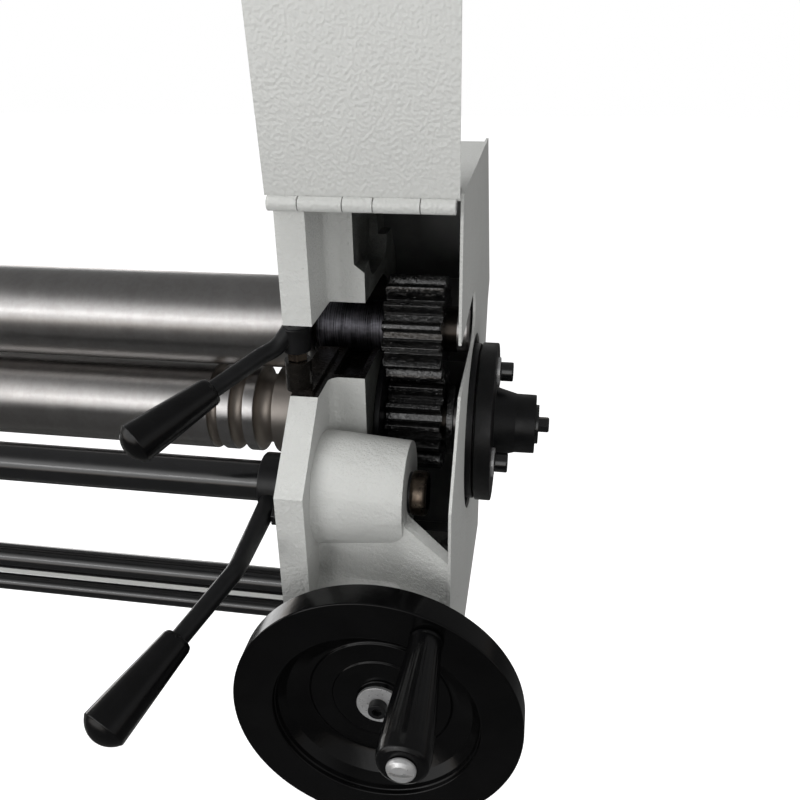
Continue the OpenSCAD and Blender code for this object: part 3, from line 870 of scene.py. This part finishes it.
def roll(node, name, grooves, shape):
    """A ground roll with turned journals and, where asked, wire grooves."""
    low, high = corners(node)
    c = middle(node)
    body = (high[2] - low[2]) / 2
    plate = corners("right_frame")[0][0]
    inner = plate - 6
    profile = [(low[0], 0), (low[0], JOURNAL - 1.5), (low[0] + 1.5, JOURNAL), (-inner - 0.01, JOURNAL),
               (-inner, body - 1.2), (-inner + 1.2, body)]
    for distance, radius in grooves:
        centre = plate - distance
        profile.append((centre - radius - 0.5, body))
        for k in range(GROOVE_STEPS + 1):
            t = math.pi * (1 + k / GROOVE_STEPS)
            drop = math.sin(t) * radius - (0.25 if k in (0, GROOVE_STEPS) else 0)
            profile.append((centre + radius * math.cos(t), body + drop))
        profile.append((centre + radius + 0.5, body))
    profile += [(inner - 1.2, body), (inner, body - 1.2), (inner + 0.01, JOURNAL), (high[0] - 9.2, JOURNAL),
                (high[0] - 8.8, JOURNAL), (high[0] - 1.5, JOURNAL),
                (high[0], JOURNAL - 1.5), (high[0], 0)]
    obj = Maker().turn(profile, axis_of(node), segments=shape.segments).build(name, "roll_steel", sharp=30)
    marks = {"groove": [], "journal": []}
    for v in obj.data.vertices:
        along = abs(v.co[0] / MM)
        r = math.hypot(v.co[1] / MM - c[1], v.co[2] / MM - c[2])
        worn = min(1.0, max(0.0, (body - 0.6 - r) / 1.5)) if along < inner - 1.5 else 0.0
        if grooves and along > inner - LAST_LAND and r > body - 3:
            worn = 0.75
        marks["groove"].append(worn)
        marks["journal"].append(float(r < body - 12 and worn == 0.0 and along < high[0] - 9))
    for mark, values in marks.items():
        obj.data.attributes.new(mark, "FLOAT", "POINT").data.foreach_set("value", values)
    mount(obj, node)


class ROLLING_OT_rolls(Step, bpy.types.Operator):
    """Make the upper, lower and rear rolls; the lower one carries the wire grooves"""
    bl_idname = "rolling.rolls"
    bl_label = "Rolls"

    def make(self, shape):
        roll("upper_roll", "upper_pinch_roll", (), shape)
        roll("lower_roll", "lower_pinch_roll", GROOVES, shape)
        roll("rear_roll", "rear_bending_roll", (), shape)


TEETH = 15
PRESSURE_ANGLE = math.radians(20)


def tooth_outline(module):
    """One tooth and half the gap on each side of an involute gear, with its root and outer radius."""
    pitch = module * TEETH / 2
    base = pitch * math.cos(PRESSURE_ANGLE)
    outer, root = pitch + module, pitch - 1.25 * module
    half = math.pi / 2 / TEETH + math.tan(PRESSURE_ANGLE) - PRESSURE_ANGLE
    gap = math.pi / TEETH
    points = [(root * math.cos(gap), -root * math.sin(gap)), (root * math.cos(half), -root * math.sin(half))]
    for k in range(9):
        t = math.sqrt((outer / base) ** 2 - 1) * k / 8
        x, y = base * (math.cos(t) + t * math.sin(t)), base * (math.sin(t) - t * math.cos(t))
        points.append((x * math.cos(half) + y * math.sin(half), y * math.cos(half) - x * math.sin(half)))
    points += [(x, -y) for x, y in reversed(points)]
    return rounded(points, 0.9, 3), root, outer


def gear(node, name, phase):
    """An involute spur gear: one tooth, turned about its axis by rule."""
    low, high = corners(node)
    c = middle(node)
    outline, root, outer = tooth_outline(round((high[2] - low[2]) / (TEETH + 2), 2))
    bore = JOURNAL + 0.2
    width = high[0] - low[0]
    bm = bmesh.new()

    def row(x, radius_of):
        return [bm.verts.new(Vector((x, *(p.normalized() * radius_of(p)))) * MM) for p in outline]

    strips = [row(0.0, lambda p: bore)]
    stations = [(0.0, 1.3), (0.4, 0.5), (1.3, 0.0)]     # from an end face, and how far the tip is cut back
    for x, inset in stations + [(width - x, inset) for x, inset in reversed(stations)]:
        strips.append(row(x, lambda p: p.length - inset * max(0.0, (p.length - root) / (outer - root))))
    strips.append(row(width, lambda p: bore))
    for a, b in zip(strips, strips[1:] + strips[:1]):
        for i in range(len(outline) - 1):
            bm.faces.new((a[i], a[i + 1], b[i + 1], b[i]))
    bmesh.ops.recalc_face_normals(bm, faces=bm.faces)
    tooth = mesh_object(bm, name + "_tooth")
    obj = grow("Parts on a ring", name, "greased_gear", tooth, sharp=32, Count=TEETH,
               Phase=math.radians(phase), Centre=(low[0] * MM, c[1] * MM, c[2] * MM), Weld=0.00002)
    bm = bmesh.new()
    bm.from_mesh(obj.data)
    bmesh.ops.recalc_face_normals(bm, faces=bm.faces)
    bm.to_mesh(obj.data)
    bm.free()
    return mount(obj, node)


def grease_beads(surface, name, body, shape, seed):
    """Small flattened beads of grease over a piece."""
    bm = bmesh.new()
    bmesh.ops.create_icosphere(bm, subdivisions=1, radius=MM)
    for v in bm.verts:
        v.co = Vector((v.co[0] * 1.25, v.co[1], v.co[2] * 0.4))
    obj = grow("Beads on a surface", name, "grease", mesh_object(bm, name + "_bead"), sharp=180,
               Surface=surface, Density=shape.bead_density, Seed=shape.bead_seed + seed, Smallest=0.4,
               Largest=1.5)
    add_to(obj, body)


class ROLLING_OT_gears(Step, bpy.types.Operator):
    """Make the meshing gears with the grease that clings to their teeth"""
    bl_idname = "rolling.gears"
    bl_label = "Gears and grease"

    def make(self, shape):
        upper = gear("upper_gear", "upper_spur_gear", 182.4)
        lower = gear("lower_gear", "lower_spur_gear", 93.6)
        grease_beads(upper, "upper_gear_grease", "upper_train", shape, 0)
        grease_beads(lower, "lower_gear_grease", "lower_train", shape, 5)


class ROLLING_OT_bearings(Step, bpy.types.Operator):
    """Make the journal sleeves, bearing flange, shaft collar and journal block"""
    bl_idname = "rolling.bearings"
    bl_label = "Bearings and journal block"

    def make(self, shape):
        for node, name, outer, inner, finish in (
                ("upper_sleeve", "right_journal_sleeve", 21.2, JOURNAL + 0.1, "turned_black_steel"),
                ("left_sleeve", "left_journal_sleeve", 21.2, JOURNAL + 0.1, "turned_black_steel"),
                ("bearing_flange", "lower_bearing_flange", 56.8, JOURNAL + 0.1, "flange_black"),
                ("shaft_collar", "lower_shaft_collar", 30.0, JOURNAL + 0.05, "greased_gear")):
            low, high = corners(node)
            turned(node, name, finish, ring_profile(low[0], high[0], outer, inner, steps=3), closed=True)
        eased_copy("release_block", "slot_wear_plate", "oily_steel", 0.8)


HUB_LENGTH = 46     # from the flange's back face to the hub's end
HUB_FACE = 13       # from the same place to the flange's front face
HUB_BOLT_RING = 43  # radius


class ROLLING_OT_drive_hub(Step, bpy.types.Operator):
    """Make the flanged drive hub with its screws, washer and end screw"""
    bl_idname = "rolling.drive_hub"
    bl_label = "Drive hub"

    def make(self, shape):
        centre = axis_of("drive_hub")
        x0 = corners("drive_hub")[1][0] - HUB_LENGTH
        steps = ((-15.5, 0), (-15.5, 40), (-7, 40), (-7, 64), (-1, 64), (-1, 60), (0.2, 60), (0.2, 65),
                 (HUB_FACE, 65), (HUB_FACE, 29), (30, 24.2), (HUB_LENGTH, 24), (HUB_LENGTH, 0))
        turned("drive_hub", "drive_hub_flange", "flange_black",
               rounded([(x0 + x, r) for x, r in steps], 1.1, 3), sharp=32, segments=shape.segments)
        screw = cap_screw("hub_screw", 7.8, 10.4, 4.6, 11.5, 2.6)
        screw.data.transform(Matrix.Rotation(math.radians(90), 4, "Y"))
        screw.data.transform(Matrix.Translation(Vector((0, HUB_BOLT_RING * MM, 0))))
        obj = grow("Parts on a ring", "hub_screws", "black_oxide", screw, Count=3, Phase=math.radians(80),
                   Centre=((x0 + HUB_FACE) * MM, centre[1] * MM, centre[2] * MM))
        obj.data.materials.append(finish_of("zinc"))
        for polygon in obj.data.polygons:
            if polygon.center[0] / MM < x0 + HUB_FACE + 2.65:
                polygon.material_index = 1
        mount(obj, "hub_bolts")
        low, high = corners("end_washer")
        profile = ring_profile(low[0] - 0.2, high[0], 16, edge=0.5)
        turned("end_washer", "hub_end_washer", "black_oxide", profile, centre, slot="black_oxide",
               segments=64)
        low, high = corners("end_screw")
        head = [(low[0] - 0.3, 0), (low[0] - 0.3, 6.5), (high[0] - 1, 6.5), (high[0], 5.6), (high[0], 0)]
        turned("end_screw", "hub_end_screw", "black_oxide", head, centre, slot="black_oxide", sharp=25,
               segments=6)


DOME = 16.7     # radius of a grip's domed end


def grip(node, name, start, way, long):
    """A moulded hand grip, widening to a domed end."""
    profile = rounded([(-0.6, 0), (-0.6, 7.6), (0, 9), (2.2, 9.9), (long + 6.4, 14.2), (long + 7.4, 13.2)],
                      1.4, 4)
    profile += [(long - 2.7 + DOME * math.cos(math.radians(t)), DOME * math.sin(math.radians(t)))
                for t in range(48, -1, -6)]
    turned(node, name, "grip_black", profile, start, way, sharp=50, segments=64)


class ROLLING_OT_levers(Step, bpy.types.Operator):
    """Make the release lever, the throw lever, their grips, pins and the cross shaft"""
    bl_idname = "rolling.levers"
    bl_label = "Levers and cross shaft"

    def make(self, shape):
        plate = corners("right_frame")[0][0]
        self.release_lever(plate)
        self.throw_lever(plate)
        self.cross_shaft()

    def release_lever(self, plate):
        pivot = middle("release_pin")
        pin_base = (pivot[0], pivot[1], 0)
        z = middle("lower_roll")[2] + 90
        b, c = Vector((plate - 17.6, -111, z + 8)), Vector((plate - 43, -142, z - 5))
        way = (c - b).normalized()
        a = Vector((pivot[0] - 5.6, pivot[1] - 4.8, z + 15.5))
        bow = a + (b - a) * 0.4 - Vector((0, 0, 1))
        path = rounded([a + Vector((2, 2, 7)), bow, b, c + way * 3], 20, 8)
        rod = Maker().sweep(path, [6.0] * len(path))
        rod.turn(ring_profile(z + 7, z + 25, 10, 5.1, 1.0, 3), pin_base, Z_AXIS, 48, closed=True)
        mount(rod.build("release_lever_rod", "flange_black"), "release_lever")
        grip("release_grip", "release_lever_grip", c, way, 54)
        pin = Maker().turn(ring_profile(z - 22, z + 24, 5, edge=0.5), pin_base, Z_AXIS, 32)
        pin.turn([(z + 0.7, 0), (z + 0.7, 7.4), (z + 5.6, 7.4), (z + 6.3, 6.4), (z + 6.3, 0)],
                 pin_base, Z_AXIS, 6, finish=1)
        pin = pin.build("release_lever_pin", "oily_steel", "bronzed_steel", sharp=25)
        mount(pin, "release_pin")

    def throw_lever(self, plate):
        shaft = middle("cross_shaft")
        a = Vector((plate - 16, shaft[1] - 17, shaft[2] - 4))
        b, c = Vector((plate - 15.5, -202, shaft[2] - 8.5)), Vector((plate - 37, -250, shaft[2] - 26))
        way = (c - b).normalized()
        path = rounded([a, b, c + way * 3], 24, 8)
        rod = Maker().sweep(path, [7.5 - 1.5 * min(1.0, (p - a).length / (b - a).length) for p in path])
        rod.turn(ring_profile(plate - 25, plate - 3, 22, 15.05, 1.4, 3), axis_of("cross_shaft"), segments=72,
                 closed=True)
        mount(rod.build("throw_lever_rod", "flange_black"), "throw_lever")
        grip("throw_grip", "throw_lever_grip", c, way, 57)
        eased_copy("throw_bolt", "throw_lever_screw", "black_oxide", 0.5)

    def cross_shaft(self):
        low, high = corners("cross_shaft")
        rod = Maker().turn(bar_profile(low[0], high[0], 15, 2.0), axis_of("cross_shaft"), segments=64)
        for start, end in ((low[0], low[0] + 12), (high[0] - 12, high[0])):
            rod.turn(ring_profile(start, end, 16.4, edge=3.0), axis_of("cross_shaft"), segments=64, finish=1)
        mount(rod.build("cross_shaft_rod", "black_oxide", "bronzed_steel"), "cross_shaft")


WHEEL_RADIUS = 99   # of the section below
WHEEL_SECTION = (
    (36, 12), (16, 12), (16, 15), (18.6, 16.6), (18.6, 33.4), (19.6, 34.4), (19.2, 35.6), (19.2, 49.4),
    (20.6, 51), (18.4, 56), (12.2, 65), (6.5, 69.6), (3.6, 70.6), (3.2, 71.2), (0, 71.8),
    (0, 99.9), (19.5, 99.9), (20.6, 97), (21, 84), (27, 80), (30, 40), (36, 24))    # along, radius


def handwheel(side, shape):
    """A dished handwheel with its shaft end, washer and screw."""
    low, high = corners(side + "_handwheel")
    c = middle(side + "_handwheel")
    k = (high[0] - low[0]) / 2 / WHEEL_RADIUS
    ring = [Vector((a * k, r * k)) for a, r in WHEEL_SECTION]
    ring = rounded([ring[-1]] + ring + [ring[0]], 1.3 * k, 4)[1:-1]
    turned(side + "_handwheel", side + "_dished_wheel", "wheel_black", ring, (c[0], low[1], c[2]), Y_AXIS,
           sharp=50, segments=shape.segments, closed=True)

    centre = (c[0], 0, c[2])
    low, high = corners(side + "_wheel_shaft")
    turned(side + "_wheel_shaft", side + "_wheel_spindle", "pale_steel",
           bar_profile(low[1], high[1], 12, 0.8), centre, Y_AXIS, segments=48)
    low, high = corners(side + "_wheel_screw")
    top, back = low[1] + 1.4, high[1]
    screw = Maker().turn(ring_profile(back, back - 2.5, 15.8, edge=0.5), centre, Y_AXIS, 64)
    head = rounded([(back - 2.4, 0), (back - 2.4, 6.5), (top, 6.5), (top, 2)], 0.9)[:-1]
    head += [(top, 3.9, 1), (top + 4.5, 3.8, 1), (top + 4.5, 0)]
    screw.turn(head, centre, Y_AXIS, 48, finish=1)
    mount(screw.build(side + "_wheel_cap_screw", "zinc", "flange_black", sharp=30), side + "_wheel_screw")


PIN_PROUD = 6.6     # how far the crank's pin and handle stand out beyond the CAD ones
FLUTE_SIDES, FLUTE_DEPTH = 6, 0.16


def crank(side, shape):
    """The pin with its slotted head, and the turning handle."""
    low, high = corners(side + "_crank_pin")
    c = middle(side + "_crank_pin")
    centre = (c[0], 0, c[2])
    tip, end = low[1] - PIN_PROUD, high[1]
    dome = rounded([(tip, 0), (tip + 0.2, 3), (tip + 0.8, 5.6), (tip + 2.2, 7.6), (tip + 3.6, 8.3),
                    (tip + 5.1, 8.3), (tip + 5.1, 6)], 1.2, 3)
    pin = Maker().turn(dome + [(end - 0.8, 6), (end, 5.2), (end, 0)], centre, Y_AXIS, 48)
    slot = Maker().block((c[0] - 10, tip - 1, c[2] - 0.9), (c[0] + 10, tip + 1.9, c[2] + 0.9))
    mount(pin.build(side + "_crank_pin_screw", "zinc", minus=slot), side + "_crank_pin")

    low, high = corners(side + "_crank_handle")
    start = low[1] - PIN_PROUD
    steps = ((0, 6.1), (0, 12.2), (1.6, 14.6), (8, 15.6), (24, 15.3), (54, 13.2), (80, 11.2), (92, 10.8))
    profile = rounded([(start + y, r) for y, r in steps] + [(high[1], 11.6), (high[1], 6.1)], 2.0, 4)
    fine = []
    for a, b in zip(profile, profile[1:]):
        parts = 4 if abs(b[0] - a[0]) > 6 else 1
        fine += [a + (b - a) * (i / parts) for i in range(parts)]
    turned(side + "_crank_handle", side + "_turning_handle", "grip_black", fine + profile[-1:], centre,
           Y_AXIS, sharp=55, segments=shape.flute_count * FLUTE_SIDES, closed=True,
           flutes=(shape.flute_count, FLUTE_DEPTH, start + 9, start + 85))


class ROLLING_OT_handwheels(Step, bpy.types.Operator):
    """Make both handwheels with their spindles, screws and crank handles"""
    bl_idname = "rolling.handwheels"
    bl_label = "Handwheels"

    def make(self, shape):
        for side in SIDES:
            handwheel(side, shape)
            crank(side, shape)


class ROLLING_OT_ties(Step, bpy.types.Operator):
    """Make the tie rods and the tie bar between the side frames"""
    bl_idname = "rolling.ties"
    bl_label = "Tie rods and tie bar"

    def make(self, shape):
        for node in ("front_tie_rod", "lower_tie_rod"):
            low, high = corners(node)
            profile = bar_profile(low[0], high[0], (high[2] - low[2]) / 2, 1.2)
            turned(node, node + "_bar", "black_oxide", profile, segments=64)
        eased_copy("tie_bar", "painted_tie_bar", "cast_paint", 1.0)


PAD_HEIGHT = 13.9
SEAT_BOLT_X = 600   # middle of each pair of seat bolts along the rolls


class ROLLING_OT_stand(Step, bpy.types.Operator):
    """Make the pedestals, their stretchers and the screws that hold the stand together"""
    bl_idname = "rolling.stand"
    bl_label = "Stand"

    def make(self, shape):
        for side in SIDES:
            obj = ease(cad_copy(side + "_pedestal", side + "_stand_column", "sheet_paint", "pad_rubber"), 2.0)
            for polygon in obj.data.polygons:
                if polygon.center[2] / MM < PAD_HEIGHT:
                    polygon.material_index = 1
            mount(smooth_faces(obj), side + "_pedestal")
        for node in ("front_stretcher", "rear_stretcher"):
            eased_copy(node, node + "_tube", "sheet_paint", 2.5)
        seat = corners("right_frame")[0][2] + 12
        for side, sign in SIDES.items():
            bolts = grow("Parts in rows", side + "_seat_bolts", "zinc", hex_screw("stand_bolt", 13, 7, 11),
                         Start=((SEAT_BOLT_X * sign - 22) * MM, -70 * MM, seat * MM), Columns=2,
                         Column_step=(44 * MM, 0.0, 0.0), Rows=2, Row_step=(0.0, 150 * MM, 0.0))
            add_to(bolts, "base")


LENS = 37.02
YAW, PITCH, ROLL = (math.radians(angle) for angle in (9.95, 26.45, -1.02))
EYE = (164.7, -605.0, 320.2)    # from the frame's inner face, in depth, and above the lower roll, mm
WHITE, WARM = (1.0, 1.0, 1.0, 1.0), (1.0, 0.82, 0.66, 1.0)
FLOOR_GLOW = 0.74   # light that the floor gives off to the camera
LAMPS = (   # name, place, aim, width, height, share of the power, seen in mirrors
    ("ceiling_lamp", (0.15, -0.25, 2.55), (0.3, 0.0, 1.0), 0.75, 0.75, 0.5, False),
    ("front_lamp", (-1.0, -2.6, 1.75), (0.4, 0.0, 1.0), 1.5, 1.5, 0.8, False),
    ("fill_lamp", (1.1, -2.5, 1.45), (0.5, 0.0, 1.0), 1.0, 1.0, 0.34, False),
    ("side_lamp", (2.6, -1.5, 1.5), (0.5, 0.0, 0.9), 1.4, 1.4, 0.24, False),
    ("strip_lamp", (-1.0, -2.6, 1.85), (0.4, 0.0, 1.0), 1.7, 0.16, 0.2, True),
)


class ROLLING_OT_stage(Step, bpy.types.Operator):
    """Set up the pale floor, the soft lamps, the even light and the camera"""
    bl_idname = "rolling.stage"
    bl_label = "Floor, light and camera"

    def make(self, shape):
        self.floor()
        self.world(paint_settings().sky)
        self.lamps(paint_settings().lamp_power)
        self.camera()
        bpy.context.scene.view_settings.view_transform = "Standard"

    def floor(self):
        """White to the camera, and dark to mirrors but for a glow far behind on the left."""
        bm = bmesh.new()
        bmesh.ops.create_grid(bm, x_segments=1, y_segments=1, size=9.0)
        floor = mesh_object(bm, "studio_floor")
        mat = bpy.data.materials.new("pale_floor")
        mat.use_nodes = True
        g = Graph(mat.node_tree)
        shader = mat.node_tree.nodes["Principled BSDF"].inputs
        path = mat.node_tree.nodes.new("ShaderNodeLightPath").outputs
        tone = g.span(g.add("ShaderNodeTexNoise", {"Scale": 3.0, "Detail": 2.0}), 0.0, 1.0, 0.82, 0.86)
        x, y = (g.along(g.place(), letter) for letter in "XY")
        glow = g.times(g.ramp(x, -0.5, -1.3, 0.0, 1.0), g.ramp(y, 1.0, 1.9, 0.0, 3.0), path["Is Glossy Ray"])
        strength = g.math("MULTIPLY_ADD", path["Is Camera Ray"], FLOOR_GLOW, glow)
        for label, value in (("Roughness", 0.9), ("Base Color", g.pick(path["Is Glossy Ray"], tone, 0.1)),
                             ("Emission Color", WHITE), ("Emission Strength", strength)):
            g.feed(shader[label], value)
        floor.data.materials.append(mat)

    def world(self, strength):
        """White behind the machine; even light on it, and a bright band in front for mirrors."""
        world = bpy.data.worlds.new("studio")
        bpy.context.scene.world = world
        world.use_nodes = True
        g = Graph(world.node_tree)
        back = world.node_tree.nodes["Background"].inputs
        path = world.node_tree.nodes.new("ShaderNodeLightPath").outputs
        x, y, z = (g.along(g.place("Generated"), letter) for letter in "XYZ")
        band = g.times(g.ramp(z, -0.16, 0.02, 0.0, 1.0), g.ramp(z, 0.38, 0.82, 1.0, 0.0),
                       g.ramp(y, -0.35, 0.35, 1.0, 0.12), g.ramp(x, -0.1, 0.22, 1.0, 0.25))
        back_left = g.times(g.ramp(z, -0.14, 0.0, 0.0, 1.0), g.ramp(z, 0.12, 0.22, 1.0, 0.0),
                            g.ramp(y, 0.35, 0.6, 0.0, 1.0), g.ramp(x, -0.25, -0.5, 0.0, 1.0))
        mirrored = g.math("MULTIPLY_ADD", back_left, 2.6, g.ramp(band, 0.0, 1.0, 0.2, 1.75))
        even = g.ramp(z, -0.4, 0.9, strength * 0.8, strength * 1.15)
        lit = g.pick(path["Is Glossy Ray"], even, mirrored)
        warm = g.times(g.ramp(z, -0.2, 0.1, 1.0, 0.0), path["Is Glossy Ray"])
        g.feed(back["Color"], g.blend(warm, WHITE, WARM))
        seen = g.math("MAXIMUM", path["Is Camera Ray"], path["Is Transmission Ray"])
        g.feed(back["Strength"], g.pick(seen, lit, 1.0))

    def lamps(self, power):
        """Large lamps light the paint unmirrored; a narrow one draws the highlights on black."""
        for name, place, aim, width, height, share, mirrored in LAMPS:
            data = bpy.data.lights.new(name, "AREA")
            data.energy = power * share
            data.shape = "RECTANGLE"
            data.size = width
            data.size_y = height
            lamp = link(bpy.data.objects.new(name, data))
            lamp.visible_glossy = mirrored
            lamp.location = place
            lamp.rotation_mode = "QUATERNION"
            lamp.rotation_quaternion = (Vector(aim) - Vector(place)).to_track_quat("-Z", "Y")

    def camera(self):
        """Looks at the drive end from above, a little from the right."""
        origin = (corners("right_frame")[0][0], 0.0, middle("lower_roll")[2])
        place = [(origin[k] + EYE[k]) * MM for k in range(3)]
        s, c, sp, cp = math.sin(YAW), math.cos(YAW), math.sin(PITCH), math.cos(PITCH)
        ahead = Vector((-s * cp, c * cp, -sp))
        right = Vector((c, s, 0))
        up = right.cross(ahead)
        r = right * math.cos(ROLL) + up * math.sin(ROLL)
        u = up * math.cos(ROLL) - right * math.sin(ROLL)
        data = bpy.data.cameras.new("camera")
        data.lens = LENS
        data.sensor_width = 36.0
        data.clip_start = 0.01
        cam = link(bpy.data.objects.new("camera", data))
        cam.matrix_world = Matrix([(r[k], u[k], -ahead[k], place[k]) for k in range(3)] + [(0, 0, 0, 1)])
        bpy.context.scene.camera = cam


class ROLLING_PT_panel(bpy.types.Panel):
    """Sizes, colours and the steps that make the machine"""
    bl_label = "Rolling machine"
    bl_idname = "ROLLING_PT_panel"
    bl_space_type = "VIEW_3D"
    bl_region_type = "UI"
    bl_category = "Rolling machine"

    def draw(self, context):
        column = self.layout.column()
        for group in (settings(), paint_settings()):
            for name in group.__annotations__:
                column.prop(group, name)
        for step in STEPS:
            column.operator(step.bl_idname)


STEPS = (ROLLING_OT_castings, ROLLING_OT_case, ROLLING_OT_rolls, ROLLING_OT_gears, ROLLING_OT_bearings,
         ROLLING_OT_drive_hub, ROLLING_OT_levers, ROLLING_OT_handwheels, ROLLING_OT_ties,
         ROLLING_OT_stand, ROLLING_OT_stage)
CLASSES = (RollingShape, RollingFinish, *STEPS, ROLLING_PT_panel)


def register():
    for cls in CLASSES:
        bpy.utils.register_class(cls)
    bpy.types.Scene.rolling_shape = bpy.props.PointerProperty(type=RollingShape)
    bpy.types.Scene.rolling_finish = bpy.props.PointerProperty(type=RollingFinish)


def unregister():
    del bpy.types.Scene.rolling_shape
    del bpy.types.Scene.rolling_finish
    for cls in reversed(CLASSES):
        bpy.utils.unregister_class(cls)


def clear_start_objects():
    for obj in list(bpy.context.scene.objects):
        of_frame = "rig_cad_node" in obj or obj.name.startswith("BODY")
        if obj.type in {"MESH", "LIGHT", "CAMERA"} and not of_frame:
            bpy.data.objects.remove(obj)


def main():
    register()
    clear_start_objects()
    shared_effects()
    make_finishes()
    growing_trees()
    for step in STEPS:
        getattr(bpy.ops.rolling, step.bl_idname.split(".")[1])()


if __name__ == "__main__":
    main()
